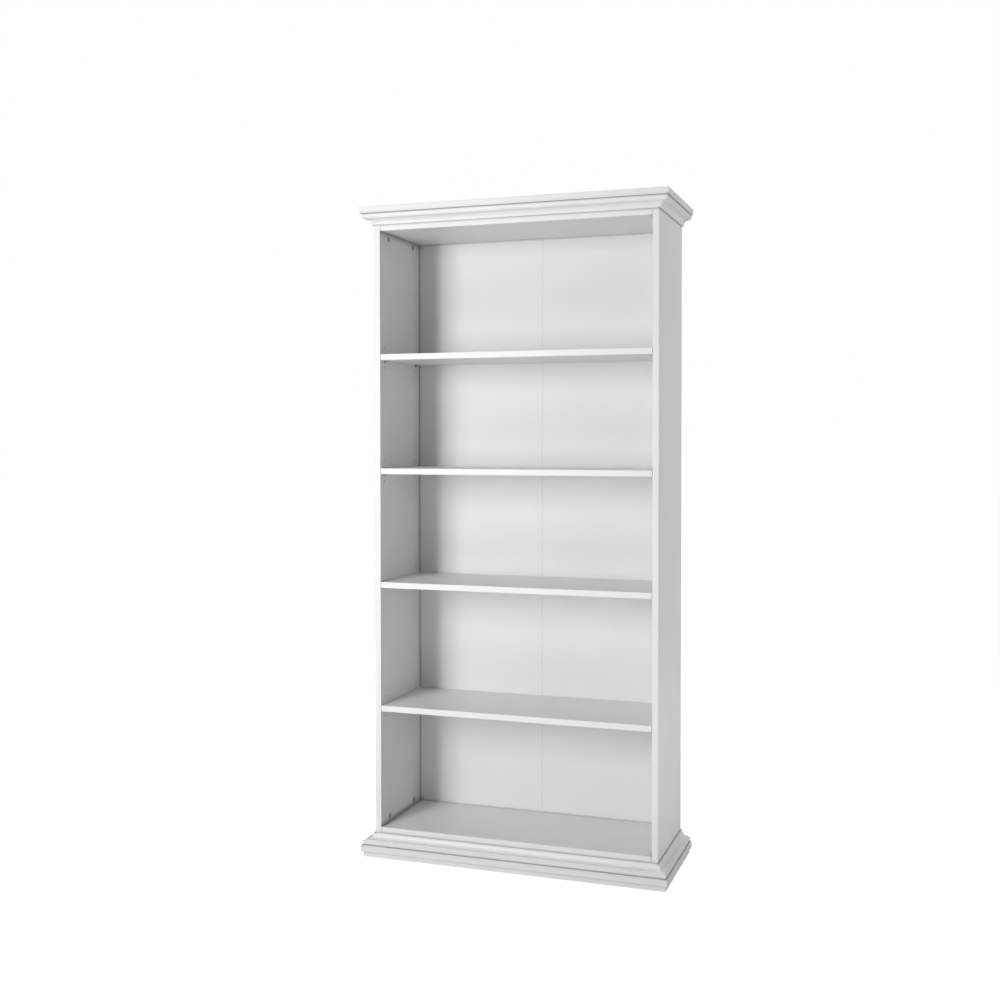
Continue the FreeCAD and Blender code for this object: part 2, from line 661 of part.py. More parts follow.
def left_moulding():
    """Cove moulding along the left side, mitred at the front and square at the rear."""
    body = new_body("left_cove")
    # The normal of this plane points to the front, so the pad runs backwards.
    profile = new_sketch(body, "left_cove_profile", "XZ_Plane", REACH)
    cove_profile(profile)
    pad(body, profile, f"Sizes.side_depth + {REACH}", backwards=True)
    mitre = new_sketch(body, "left_mitre", "XY_Plane")
    beyond = f"({REACH} + Sizes.past_the_edge)"
    draw_outline(mitre, [("0", "0"), (f"-{beyond}", f"-{beyond}"), ("0", f"-{beyond}")])
    pocket(body, mitre, COVE_HEIGHT, backwards=True)
    return place(body, f"-{HALF_CARCASS}", FRONT, SIDE_TOP)


def overhanging_board(name, thickness):
    """Cornice board or base plate, its front and side edges rounded."""
    body = new_body(name)
    half_width = f"({HALF_CARCASS} + {OVERHANG})"
    outline = new_sketch(body, f"{name}_outline", "XY_Plane")
    draw_rectangle(outline, f"-{half_width}", half_width, f"-{OVERHANG}", "Sizes.side_depth")
    rear = value_of("Sizes.side_depth")

    def ahead_of_rear(edge):
        return not math.isclose(edge.CenterOfMass.y, rear)

    soften(body, pad(body, outline, thickness), "Sizes.board_rounding", ahead_of_rear)
    return body


def rail_screw_places():
    """Screws of the left half: two in the left rail, one each in the front and rear rails."""
    across = f"-({HALF_CARCASS} - Sizes.rail_screw_inset)"
    front_row, rear_row = side_rows("Sizes.rail_screw_shift")
    return [
        (f"-{SIDE_MIDDLE}", f"{FRONT} + {front_row}"), (f"-{SIDE_MIDDLE}", f"{FRONT} + {rear_row}"),
        (across, f"{FRONT} + Sizes.board / 2"), (across, f"{REAR} - Sizes.board / 2")]


def above_and_below(piece, name):
    """Keep a piece of the cornice frame, and the same piece turned over in the base frame."""
    sub_part(piece, f"cornice_{name}")
    sub_part(top_to_bottom(piece, f"{name}_below"), f"base_{name}")
    return piece


def make_rails(screw_holes, left_screw_holes):
    """Four rails hidden behind the mouldings, bored for what comes up out of the sides."""
    bores = []
    for number, row in enumerate(side_rows("0"), start=1):
        bore = cylinder(f"rail_thread_hole_{number}", THREAD_HOLE, THREAD_HOLE_DEPTH)
        bores.append(place(bore, f"-{SIDE_MIDDLE}", f"{FRONT} + {row}", SIDE_TOP))
    for number, row in enumerate(side_rows("-Sizes.side_dowel_shift"), start=1):
        bore = cylinder(f"rail_dowel_hole_{number}", DOWEL_HOLE, "Sizes.dowel_in_side")
        bores.append(place(bore, f"-{SIDE_MIDDLE}", f"{FRONT} + {row}", SIDE_TOP))

    left_blank = box("left_rail_blank", "Sizes.board", "Sizes.side_depth", COVE_HEIGHT)
    place(left_blank, f"-{HALF_CARCASS}", FRONT, SIDE_TOP)
    left_rail = above_and_below(cut("left_rail", left_blank, bores + [left_screw_holes]),
                                "left_rail")
    above_and_below(left_to_right(left_rail, "right_rail"), "right_rail")

    for end, y in (("front", FRONT), ("rear", f"{REAR} - Sizes.board")):
        blank = box(f"{end}_rail_blank", f"2 * {HALF_INNER}", "Sizes.board", COVE_HEIGHT)
        place(blank, f"-{HALF_INNER}", y, SIDE_TOP)
        above_and_below(cut(f"{end}_rail", blank, [screw_holes]), f"{end}_rail")


def make_frames():
    """Cornice frame on top of the sides, and the base frame, which is the same turned over."""
    screws, holes = [], []
    for number, (x, y) in enumerate(rail_screw_places(), start=1):
        screws.append(place(screw(f"rail_screw_{number}", RAIL_SCREW), x, y, SIDE_TOP))
        holes.append(screw_hole(f"rail_screw_hole_{number}", RAIL_SCREW, x, y, SIDE_TOP))
    left_screws = grouped("rail_screws_left", screws)
    right_screws = left_to_right(left_screws, "rail_screws_right")
    all_screws = grouped("rail_screws", [left_screws, right_screws])
    left_holes = grouped("rail_screw_holes_left", holes)
    right_holes = left_to_right(left_holes, "rail_screw_holes_right")
    all_holes = grouped("rail_screw_holes", [left_holes, right_holes])
    above_and_below(all_screws, "screws")

    make_rails(all_holes, left_holes)

    above_and_below(front_moulding(), "front_moulding")
    left_cove = above_and_below(left_moulding(), "left_moulding")
    above_and_below(left_to_right(left_cove, "right_cove"), "right_moulding")

    top = overhanging_board("cornice_board", "Sizes.top_board")
    place(top, 0, FRONT, f"{SIDE_TOP} + {COVE_HEIGHT}")
    sub_part(cut("cornice_board_drilled", top, [all_holes]), "cornice_top_board")
    return top_to_bottom(all_holes, "base_rail_screw_holes")


def make_plinth(base_screw_holes):
    """Four strips that lie on the floor, screwed up into the base plate."""
    outer_x = f"({HALF_CARCASS} + {OVERHANG} - Sizes.plinth_setback)"
    front_y = f"({FRONT} - {OVERHANG} + Sizes.plinth_setback)"
    width, height = "Sizes.plinth_width", "Sizes.plinth_height"

    side_x = f"-({outer_x} - {width} / 2)"
    inset = "Sizes.plinth_screw_inset"
    spots = [(f"-({outer_x} - {inset})", f"{front_y} + {width} / 2"),
             (f"-({outer_x} - {inset})", f"{REAR} - {width} / 2"),
             (side_x, f"{front_y} + {inset}"), (side_x, f"{REAR} - {inset}")]
    screws, holes = [], []
    for number, (x, y) in enumerate(spots, start=1):
        screws.append(place(screw(f"plinth_screw_{number}", PLINTH_SCREW), x, y, 0))
        holes.append(screw_hole(f"plinth_screw_hole_{number}", PLINTH_SCREW, x, y, 0))
    left_screws, left_holes = grouped("plinth_left_screws", screws), grouped("plinth_holes", holes)
    right_holes = left_to_right(left_holes, "plinth_holes_right")
    sub_part(grouped("plinth_all_screws", [
        left_screws, left_to_right(left_screws, "plinth_right_screws")]), "plinth_screws")

    side_length = f"({REAR} - {front_y} - {width})"
    left_strip = place(box("left_strip", width, side_length, height),
                       f"-{outer_x}", f"{front_y} + {width}", 0)
    left = sub_part(cut("left_strip_drilled", left_strip, [left_holes]), "plinth_left")
    sub_part(left_to_right(left, "right_strip"), "plinth_right")
    front_strip = place(box("front_strip", f"2 * {outer_x}", width, height),
                        f"-{outer_x}", front_y, 0)
    sub_part(cut("front_strip_drilled", front_strip, [left_holes, right_holes]), "plinth_front")
    rear_strip = place(box("rear_strip", f"2 * ({outer_x} - {width})", width, height),
                       f"-({outer_x} - {width})", f"{REAR} - {width}", 0)
    sub_part(cut("rear_strip_drilled", rear_strip, [left_holes, right_holes]), "plinth_rear")

    plate = place(overhanging_board("base_board", "Sizes.base_board"),
                  0, FRONT, "Sizes.plinth_height")
    tools = [base_screw_holes, left_holes, right_holes]
    sub_part(cut("base_board_drilled", plate, tools), "base_plate")


# ---------------------------------------------------------------- fastenings in place

def four_corners(name, left_top):
    """Copies of the pieces at the left end of the top, at all four ends of the carcass."""
    left = grouped(f"{name}_left_top", left_top)
    top = grouped(f"{name}_top", [left, left_to_right(left, f"{name}_right_top")])
    return grouped(f"{name}_all", [top, top_to_bottom(top, f"{name}_foot")])


def make_fastenings():
    """Cam locks, bolts and dowels at the four corners of the carcass, and the back's nails."""
    panel_middle = f"({SIDE_TOP} - Sizes.board / 2)"
    side_cam_z = f"({SIDE_TOP} - Sizes.cam_inset)"
    panel_cam_x = f"-({HALF_INNER} - Sizes.cam_inset)"
    in_side = "(Sizes.dowel_in_side - Sizes.dowel_end_gap)"
    side_cams, side_bolts, panel_cams, panel_bolts = [], [], [], []
    for number, row in enumerate(side_rows("0"), start=1):
        y = f"{FRONT} + {row}"
        side_cams.append(place(cam_lock(f"side_cam_{number}"),
                               f"-{HALF_INNER} - Sizes.cam_recess", y, side_cam_z, ALONG_X))
        side_bolts.append(place(cam_bolt(f"side_bolt_{number}"), f"-{SIDE_MIDDLE}", y, side_cam_z))
    for number, row in enumerate(side_rows("Sizes.panel_cam_shift"), start=1):
        y = f"{FRONT} + {row}"
        panel_cams.append(place(cam_lock(f"panel_cam_{number}"),
                                panel_cam_x, y, f"{SIDE_TOP} - Sizes.cam_recess"))
        panel_bolts.append(place(cam_bolt(f"panel_bolt_{number}"),
                                 panel_cam_x, y, panel_middle, ALONG_MINUS_X))
    sub_part(four_corners("side_cam", side_cams), "side_cam_locks")
    sub_part(four_corners("side_bolt", side_bolts), "side_cam_bolts")
    sub_part(four_corners("panel_cam", panel_cams), "panel_cam_locks")
    sub_part(four_corners("panel_bolt", panel_bolts), "panel_cam_bolts")

    side_dowels, panel_dowels = [], []
    for number, row in enumerate(side_rows("-Sizes.side_dowel_shift"), start=1):
        side_dowels.append(place(dowel(f"side_dowel_{number}"), f"-{SIDE_MIDDLE}", f"{FRONT} + {row}",
                                 f"{SIDE_TOP} + {in_side} - Sizes.dowel_length"))
    for number, row in enumerate(side_rows("-Sizes.panel_dowel_shift"), start=1):
        panel_dowels.append(place(dowel(f"panel_dowel_{number}"), f"-{HALF_INNER} - {in_side}",
                                  f"{FRONT} + {row}", panel_middle, ALONG_X))
    sub_part(four_corners("side_dowel", side_dowels), "side_dowels")
    sub_part(four_corners("panel_dowel", panel_dowels), "panel_dowels")

    behind_sheet = f"{FRONT} + {BACK_FACE} + Sizes.back_sheet"
    nails = [place(nail(f"nail_{number}"), x, behind_sheet, panel_middle)
             for number, x in enumerate(nail_places(), start=1)]
    sub_part(four_corners("nail", nails), "back_panel_nails")


# ---------------------------------------------------------------- checks and files

def check_and_export():
    """Refuse a failed or empty feature, then write one STEP file for each sub-part."""
    for feature in doc.Objects:
        if "Invalid" in feature.State or "Error" in feature.State:
            raise RuntimeError(f"{feature.Label} failed: {feature.State}")
    for piece in sub_parts:
        if piece.Shape.isNull() or not piece.Shape.isValid() or not piece.Shape.Solids:
            raise RuntimeError(f"{piece.Label} has no valid solid")
    os.makedirs("parts", exist_ok=True)
    for piece in sub_parts:
        piece.Shape.exportStep(f"parts/{piece.Label}.step")
    print(f"{len(sub_parts)} sub-parts written")


sizes = make_sheet()
make_side_panels()
make_fixed_panels()
make_shelves()
make_back()
make_shelf_supports()
base_rail_screw_holes = make_frames()
make_plinth(base_rail_screw_holes)
make_fastenings()
doc.recompute()
check_and_export()
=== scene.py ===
"""Looks of a tall white bookcase with four adjustable shelves.

The boards, the back and the rails are the CAD model's own nodes with new finishes. The cove
mouldings, shelf supports, cam locks, bolts, screws, dowels and nails are modelled again here in
finer detail, each in the place of its CAD node. Lengths are in metres, in the CAD model's frame:
X to the right, Y from front to back and Z up, with the origin on the floor.
"""

import math

import bmesh
import bpy
from bpy.props import FloatProperty, FloatVectorProperty, IntProperty, PointerProperty
from mathutils import Matrix, Vector


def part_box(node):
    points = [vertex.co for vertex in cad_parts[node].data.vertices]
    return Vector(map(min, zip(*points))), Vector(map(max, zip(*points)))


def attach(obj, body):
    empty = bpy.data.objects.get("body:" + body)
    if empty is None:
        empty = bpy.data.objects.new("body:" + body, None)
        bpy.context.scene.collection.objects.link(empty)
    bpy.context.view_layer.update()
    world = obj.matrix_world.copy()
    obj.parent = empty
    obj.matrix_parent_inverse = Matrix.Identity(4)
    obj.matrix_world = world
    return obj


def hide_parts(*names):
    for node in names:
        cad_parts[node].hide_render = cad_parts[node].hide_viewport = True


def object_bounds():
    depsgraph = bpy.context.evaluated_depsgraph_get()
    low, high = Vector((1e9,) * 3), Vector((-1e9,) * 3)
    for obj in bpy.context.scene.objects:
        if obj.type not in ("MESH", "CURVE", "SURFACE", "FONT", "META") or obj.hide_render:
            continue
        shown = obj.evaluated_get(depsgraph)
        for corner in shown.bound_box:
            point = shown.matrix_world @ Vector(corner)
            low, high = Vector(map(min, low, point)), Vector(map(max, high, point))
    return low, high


bl_info = {
    "name": "White Bookcase",
    "version": (1, 0, 0),
    "blender": (4, 5, 0),
    "location": "View3D > Sidebar > Bookcase",
    "description": "Finishes and fittings of a tall bookcase with adjustable shelves",
    "category": "Object",
}

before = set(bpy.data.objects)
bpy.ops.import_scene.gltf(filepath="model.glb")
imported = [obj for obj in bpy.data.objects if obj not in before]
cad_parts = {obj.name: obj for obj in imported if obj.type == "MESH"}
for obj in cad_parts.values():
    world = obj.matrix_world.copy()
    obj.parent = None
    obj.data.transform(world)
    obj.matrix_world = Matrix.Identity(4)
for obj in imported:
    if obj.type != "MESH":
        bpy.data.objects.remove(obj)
cad_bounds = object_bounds()

BODY = "carcass"
SHELVES = ("shelf_1", "shelf_2", "shelf_3", "shelf_4")
FIXED_PANELS = ("top_panel", "bottom_shelf")
MERGE = 1e-6                # points closer than this are one
SHARP = math.radians(40)    # edges that turn more than this are rounded
SMOOTH = math.radians(32)   # edges that turn less than this are shaded smooth
UP = Vector((0, 0, 1))
RIM = "rim"                 # attribute that is 1 off the flat faces of a cam, where its shade is painted


# ---------------------------------------------------------------- settings

def colour(name, description, default):
    return FloatVectorProperty(
        name=name, description=description, default=default, subtype="COLOR", size=3, min=0, max=1)


def length(name, description, default):
    return FloatProperty(
        name=name, description=description, default=default, min=0, unit="LENGTH", precision=5)


def factor(name, description, default):
    return FloatProperty(
        name=name, description=description, default=default, min=0, max=1, subtype="FACTOR")


def amount(name, description, default):
    return FloatProperty(name=name, description=description, default=default, min=0)


def power(name, description, default):
    return FloatProperty(
        name=name, description=description, default=default, min=0, subtype="POWER")


class BookcaseFinishes(bpy.types.PropertyGroup):
    """Colours and gloss of the bookcase's materials"""

    foil: colour("Foil", "White foil on the boards", (0.76, 0.76, 0.76))
    foil_gloss: factor("Foil roughness", "Roughness of the satin foil", 0.42)
    back_white: colour("Back", "White lacquer on the front of the back sheets", (0.77, 0.77, 0.77))
    hardboard: colour("Hardboard", "Brown rear of the back sheets", (0.33, 0.19, 0.10))
    chip_light: colour("Light chips", "Lighter chips of bare particleboard", (0.66, 0.49, 0.30))
    chip_dark: colour("Dark chips", "Darker chips of bare particleboard", (0.36, 0.22, 0.11))
    fibre: colour("Fibreboard", "Bare fibreboard behind the mouldings' foil", (0.42, 0.28, 0.16))
    strip: colour("Joint strip", "Plastic strip behind the joint of the back", (0.74, 0.74, 0.71))
    zinc: colour("Zinc", "Die-cast zinc of the cam locks", (0.42, 0.42, 0.43))
    plating: colour("Plating", "Plated steel of bolts, screws and nails", (0.62, 0.59, 0.50))
    nickel: colour("Nickel", "Dull plating of the shelf supports", (0.42, 0.42, 0.41))
    beech: colour("Beech", "Bare beech of the dowels", (0.62, 0.40, 0.22))


class BookcaseMouldings(bpy.types.PropertyGroup):
    """Section of the cove mouldings, from the narrow end to the wide end"""

    toe_width: length("Toe width", "Narrow end beyond the carcass", 0.0055)
    toe_height: length("Toe height", "Square edge at the narrow end", 0.002)
    cove_radius: length("Cove radius", "Hollow quarter circle", 0.016)
    quirk_width: length("Quirk width", "Flat beyond the cove", 0.0035)
    quirk_height: length("Quirk height", "Step up from that flat", 0.003)
    arris: length("Arris", "Rounding of the foil over each outer corner", 0.0007)
    mitre_gap: length("Mitre gap", "Hairline at each half of a mitre", 0.00005)
    cove_steps: IntProperty(
        name="Cove steps", description="Flats that make up the hollow", default=18, min=4)


class BookcaseFittings(bpy.types.PropertyGroup):
    """Sizes of the fittings that the CAD model's boxes don't give"""

    edge: length("Edge", "Rounding of the edges of cast and bent metal", 0.0002)
    cam_rim: length("Cam rim", "Rounding round a cam's faces", 0.0016)
    cam_inset: length("Cam inset", "Cam centre from the board's end", 0.034)
    head_radius: length("Head radius", "Radius of a cam bolt's head", 0.003)
    head_length: length("Head length", "Length of a cam bolt's head", 0.003)
    neck_radius: length("Neck radius", "Radius of a cam bolt's neck", 0.0019)
    neck_length: length("Neck length", "Cam centre to the bolt's shank", 0.0075)
    thread_radius: length("Thread radius", "Radius over a cam bolt's thread", 0.00245)
    thread_depth: length("Thread depth", "Depth of a cam bolt's thread", 0.0005)
    thread_pitch: length("Thread pitch", "Rise of a cam bolt's thread in one turn", 0.0018)
    screw_radius: length("Screw radius", "Radius over a screw's thread", 0.002)
    screw_depth: length("Screw depth", "Depth of a screw's thread", 0.00055)
    screw_pitch: length("Screw pitch", "Rise of a screw's thread in one turn", 0.0018)
    screw_head: length("Screw head", "Height of a screw's countersunk head", 0.0024)
    screw_tip: length("Screw tip", "Length of a screw's tapered end", 0.003)
    screw_rim: length("Screw rim", "Upright edge round a screw's head", 0.0003)
    recess_length: length("Recess length", "Length of a screw's cross recess", 0.0044)
    recess_width: length("Recess width", "Width of a screw's cross recess", 0.0009)
    recess_depth: length("Recess depth", "Depth of a screw's cross recess", 0.0014)
    nail_radius: length("Nail radius", "Radius of a nail's shank", 0.0008)
    nail_head: length("Nail head", "Thickness of a nail's head", 0.0008)
    nail_point: length("Nail point", "Length of a nail's point", 0.0022)
    dowel_chamfer: length("Dowel chamfer", "Chamfer at a dowel's ends", 0.001)
    flute_depth: length("Flute depth", "Depth of a dowel's flutes", 0.0003)
    flutes: IntProperty(name="Flutes", description="Flutes round a dowel", default=16, min=6)
    round_steps: IntProperty(
        name="Round steps", description="Flats round a turned fitting", default=24, min=8)


class BookcaseStage(bpy.types.PropertyGroup):
    """Floor, lights and camera"""

    floor: colour("Floor", "Pale studio floor", (0.6, 0.6, 0.6))
    floor_glow: amount("Floor glow", "Light that the floor itself gives off", 0.015)
    floor_white: factor("Floor white", "How far the floor is seen as burnt out to white", 0.85)
    floor_size: length("Floor size", "Side of the square floor", 60.0)
    surround: amount("Surround", "Strength of the even light all round", 0.22)
    key_power: power("Key", "Tall narrow soft light in front, to the left", 35)
    broad_power: power("Broad", "Broader light beside the key light", 50)
    upper_power: power("Upper", "Soft light above the key light", 42)
    side_power: power("Side", "Soft light on the right, from behind the front", 35)
    fill_power: power("Fill", "Soft light in front, to the right", 9)
    rear_power: power("Rear", "Soft light above and behind", 56)
    bounce_power: power("Bounce", "Reflector on the floor, to the right", 7)
    front_bounce_power: power("Front bounce", "Reflector on the floor, in front", 5.5)
    camera_place: FloatVectorProperty(
        name="Camera place", description="Where the camera stands", size=3,
        default=(1.1967, -3.6125, 1.2894), subtype="TRANSLATION", unit="LENGTH")
    camera_turn: FloatVectorProperty(
        name="Camera turn", description="Tilt, roll and heading of the camera", size=3,
        default=(math.radians(88.79), math.radians(0.02), math.radians(18.79)),
        subtype="EULER", unit="ROTATION")
    lens: FloatProperty(
        name="Lens", description="Focal length", default=44.31, min=1, unit="CAMERA")
    shift: FloatVectorProperty(
        name="Shift", description="Sideways and upward shift of the lens", size=2,
        default=(-0.0171, -0.034))


# ---------------------------------------------------------------- shader maths

class Wire:
    """An output socket of a shader tree. Arithmetic on it adds Math nodes."""

    def __init__(self, tree, socket=None):
        self.tree = tree
        self.socket = socket

    def node(self, kind, inputs=None, output=0, **settings):
        """A new node: its settings first, then the values or links of its sockets."""
        made = self.tree.nodes.new(f"ShaderNode{kind}")
        for name, value in settings.items():
            setattr(made, name, value)
        for name, value in (inputs or {}).items():
            if isinstance(value, Wire):
                self.tree.links.new(value.socket, made.inputs[name])
            else:
                made.inputs[name].default_value = value
        return Wire(self.tree, made.outputs[output] if made.outputs else None)

    def math(self, operation, *values, clamp=False):
        return self.node("Math", dict(enumerate((self, *values))), operation=operation,
                         use_clamp=clamp)

    def __add__(self, other):
        return self.math("ADD", other)

    __radd__ = __add__

    def __sub__(self, other):
        return self.math("SUBTRACT", other)

    def __rsub__(self, other):
        return self.node("Math", {0: other, 1: self}, operation="SUBTRACT")

    def __mul__(self, other):
        return self.math("MULTIPLY", other)

    __rmul__ = __mul__

    def __abs__(self):
        return self.math("ABSOLUTE")

    def above(self, low, high):
        """0 up to low and 1 from high on, with a soft step between."""
        return self.node("MapRange", {"Value": self, "From Min": low, "From Max": high},
                         interpolation_type="SMOOTHSTEP")

    def below(self, low, high):
        """1 up to low and 0 from high on."""
        return 1 - self.above(low, high)

    def either(self, other):
        return self.math("MAXIMUM", other)

    def both(self, other):
        return self.math("MINIMUM", other)

    def mix(self, low, high):
        """A colour from low to high as this value goes from 0 to 1."""
        low, high = (value if isinstance(value, Wire) else (*value, 1) for value in (low, high))
        return self.node("Mix", {0: self, 6: low, 7: high}, output=2, data_type="RGBA")

    def parts(self):
        """The three numbers of a vector."""
        split = self.node("SeparateXYZ", {0: self})
        return [Wire(self.tree, socket) for socket in split.socket.node.outputs]


def shade(colour_value, share):
    """A colour multiplied by a share."""
    return tuple(channel * share for channel in colour_value)


class Finish:
    """A new material with its Principled shader and the coordinates that patterns read."""

    def __init__(self, name):
        self.material = bpy.data.materials.new(name)
        self.material.use_nodes = True
        tree = self.material.node_tree
        tree.nodes.clear()
        self.graph = Wire(tree)
        self.shader = tree.nodes.new("ShaderNodeBsdfPrincipled")
        self.surface = tree.nodes.new("ShaderNodeOutputMaterial").inputs["Surface"]
        tree.links.new(self.shader.outputs["BSDF"], self.surface)
        self.here = self.graph.node("TexCoord", output="Object")
        self.x, self.y, self.z = self.here.parts()
        facing = self.graph.node("NewGeometry", output="Normal")
        self.facing_x, self.facing_y, self.facing_z = facing.parts()

    def set(self, **values):
        """Values or links of the shader's sockets, named with _ for a space."""
        for name, value in values.items():
            socket = self.shader.inputs[name.replace("_", " ")]
            if isinstance(value, Wire):
                self.graph.tree.links.new(value.socket, socket)
            elif isinstance(value, (tuple, list)) or hasattr(value, "r"):
                socket.default_value = (*value, 1)
            else:
                socket.default_value = value

    def output(self, look):
        """Show a shader of its own in place of the Principled one."""
        self.graph.tree.links.new(look.socket, self.surface)

    def stretched(self, x=1, y=1, z=1):
        """Object coordinates scaled along each axis."""
        return self.graph.node("Mapping", {"Vector": self.here, "Scale": (x, y, z)})

    def noise(self, size, detail=2, where=None):
        """Soft noise from 0 to 1 with features of a size."""
        return self.graph.node(
            "TexNoise", {"Vector": where or self.here, "Scale": 1 / size, "Detail": detail})

    def cells(self, size, where):
        """A random colour for each cell of a size."""
        return self.graph.node("TexVoronoi", {"Vector": where, "Scale": 1 / size}, "Color")

    def relief(self, height, depth, strength=1):
        """Bump of a height field whose full range is depth."""
        bump = self.graph.node("Bump", {"Height": height, "Distance": depth, "Strength": strength})
        self.set(Normal=bump)


# ---------------------------------------------------------------- materials

FOIL_TONE = 0.975        # darkest tone of the foil, as a share of its colour
SKIN = 0.0009            # bare chips show deeper than this, so not on rounded edges
PAINTED_SHADE = (0.05, 0.048, 0.045)  # near-black of the shade painted into the joints, the corners and round the cam locks
JOINT_LINE = 0.0014      # reach of the dark line of painted shade along a joint
JOINT_SHADE = 0.007      # reach of the soft painted shade beside it
CORNER_SHADE = 0.020     # reach of the faint painted shade where the sides meet the fixed panels
CAM_RING = 0.0028        # width of the dark ring of painted shade round a cam lock
LINE_DARK = 0.85         # darkness of the painted shade in a joint's line, from 0 to 1
HAIR_DARK = 0.22         # of the painted shade in a hairline joint
SHADE_DARK = 0.32        # of the soft painted shade beside a joint
CORNER_DARK = 0.4        # of the faint painted shade in a corner
RING_DARK = 0.6          # of the painted shade round a cam lock


def foil_tone(finish, white):
    """Faintly clouded white with a rubbed, slightly greyer speckle."""
    cloud = finish.noise(0.22, 3)
    speck = finish.noise(0.0016, 2).above(0.60, 0.74) * 0.35
    clouded = cloud.above(0.35, 0.65).mix(shade(white, FOIL_TONE), white)
    return speck.mix(clouded, shade(white, FOIL_TONE))


def foil_surface(finish, roughness):
    """Satin with a fine pebble and slow changes of gloss."""
    finish.set(Roughness=roughness + (finish.noise(0.09, 3) - 0.5) * 0.10,
               Specular_IOR_Level=0.45)


def chipboard(finish, finishes):
    """Colour and height of bare particleboard: flat chips of all sizes, pressed together."""
    warped = finish.noise(0.004, 2)
    chips = finish.cells(0.0032, finish.stretched(1, 1, 1.7)).parts()[0]
    dust = finish.noise(0.0009, 2).above(0.4, 0.7)
    tone = (chips * 0.75 + dust * 0.25) * (0.8 + warped * 0.4)
    return tone.mix(finishes.chip_dark, finishes.chip_light), chips + dust * 0.4


def depth_masks(finish, low, high):
    """For each axis, 1 on the two faces of a board across that axis and 0 under its skin."""
    masks = []
    for place, start, end in zip((finish.x, finish.y, finish.z), low, high):
        nearest = (place - start).both(end - place)
        masks.append(nearest.below(SKIN * 0.7, SKIN))
    return masks


def painted_joint_shade(finish, front_joints=False):
    """Painted shade: 1 in the joints of the carcass and its frames, fading out beside them.

    Every joint is a corner line where two planes meet, and the joints are alike left and
    right, and above and below the middle height of the sides. The sides' joints with the back
    and with the fixed panels are seen from inside alone.
    """
    panel_low, panel_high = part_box("left_side_panel")
    middle = (panel_low.z + panel_high.z) / 2
    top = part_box("top_panel")[0].z
    cove_low, cove_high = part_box("cornice_front_moulding")
    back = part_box("back_panel_left")[0].y
    across, depth, up = abs(finish.x), finish.y, abs(finish.z - middle)
    inner, outer, wide = (abs(across + x) for x in (panel_high.x, panel_low.x, cove_low.x))
    rear, front, ahead = (abs(depth - y) for y in (back, panel_low.y, cove_low.y))
    panel, toe, fillet = (abs(up - (z - middle)) for z in (top, cove_low.z, cove_high.z))
    outside = (front.below(SKIN / 2, SKIN)
               .either((across + panel_high.x).above(SKIN, 2 * SKIN))
               .either((up - (top - middle)).above(SKIN, 2 * SKIN)))
    side, sheet = inner + outside, rear + outside
    lined = nearest_corner([(side, sheet), (side, panel), (outer, toe), (wide, fillet),
                            (ahead, fillet)])
    faint = nearest_corner([(sheet, panel), (front, toe)] + [(inner, front)] * front_joints)
    # painted shade: a dark line in each joint, a hairline in the faint joints, soft shade beside
    # them and faint shade in the corners
    line = lined.below(JOINT_LINE * 0.4, JOINT_LINE) * LINE_DARK
    hair = faint.below(JOINT_LINE * 0.2, JOINT_LINE * 0.7) * HAIR_DARK
    beside = lined.both(faint).below(0, JOINT_SHADE) * SHADE_DARK
    wedge = side.either(panel).below(0, CORNER_SHADE) * CORNER_DARK
    # painted shade: a dark ring round each cam lock in the sides
    ring = painted_cam_shade(finish).both(inner.below(SKIN, 2 * SKIN)) * RING_DARK
    return line.either(hair).either(beside).either(wedge).either(ring)


def painted_cam_shade(finish):
    """1 on the shade painted round the cam locks in the sides, and 0 elsewhere."""
    boxes = solids("side_cam_locks")
    low, high = boxes[0][0], boxes[-1][1]
    radius = (boxes[0][1].y - low.y) / 2
    middle, reach = (low + high) / 2, (high - low) / 2
    along = abs(finish.y - middle.y) - (reach.y - radius)
    up = abs(finish.z - middle.z) - (reach.z - radius)
    away = (along * along + up * up).math("SQRT")
    return away.below(radius + CAM_RING * 0.3, radius + CAM_RING)


def nearest_corner(joints):
    """Distance to the nearest of several corner lines, each given by its two planes."""
    nearest = None
    for first, second in joints:
        away = first.either(second)
        nearest = away if nearest is None else nearest.both(away)
    return nearest


def rubbed_edges(finish, low, high):
    """1 along the edges of a box and 0 elsewhere on its faces."""
    reach = 0.0016
    near = []
    for place, start, end in zip((finish.x, finish.y, finish.z), low, high):
        near.append((place - start).both(end - place).below(0, reach))
    return (near[0] + near[1] + near[2] - 1).math("MULTIPLY", 1.2, clamp=True)


def foiled_board(node, finishes, bare=(), fixed=True, front_joints=False):
    """White foil outside, particleboard in every bore and groove and on the bare faces.

    bare names the axes whose two faces have no foil, and "rear" for the rear face alone.
    """
    finish = Finish(f"foil_{node}")
    low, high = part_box(node)
    white = tuple(finishes.foil)
    masks = depth_masks(finish, low, high)
    foil = masks[0].either(masks[1]).either(masks[2])
    facings = {"x": abs(finish.facing_x), "z": abs(finish.facing_z), "rear": finish.facing_y}
    for face in bare:
        foil = foil.both(facings[face].below(0.8, 0.9))
    worn = rubbed_edges(finish, low, high) * finish.noise(0.03, 3).above(0.35, 0.7)
    white_now = (worn * 0.5).mix(foil_tone(finish, white), shade(white, 0.93))
    # painted shade in the joints and corners of the fixed boards
    if fixed:
        white_now = painted_joint_shade(finish, front_joints).mix(white_now, PAINTED_SHADE)
    chip_tone, chip_height = chipboard(finish, finishes)
    finish.set(Base_Color=foil.mix(chip_tone, white_now))
    gloss = finishes.foil_gloss + (finish.noise(0.09, 3) - 0.5) * 0.10 + worn * 0.08
    finish.set(Roughness=gloss * foil + (1 - foil) * 0.85, Specular_IOR_Level=0.45)
    pebble = finish.noise(0.0007, 2) * 0.03
    finish.relief(pebble * foil + chip_height * (1 - foil), 0.0003, 0.6)
    return finish.material


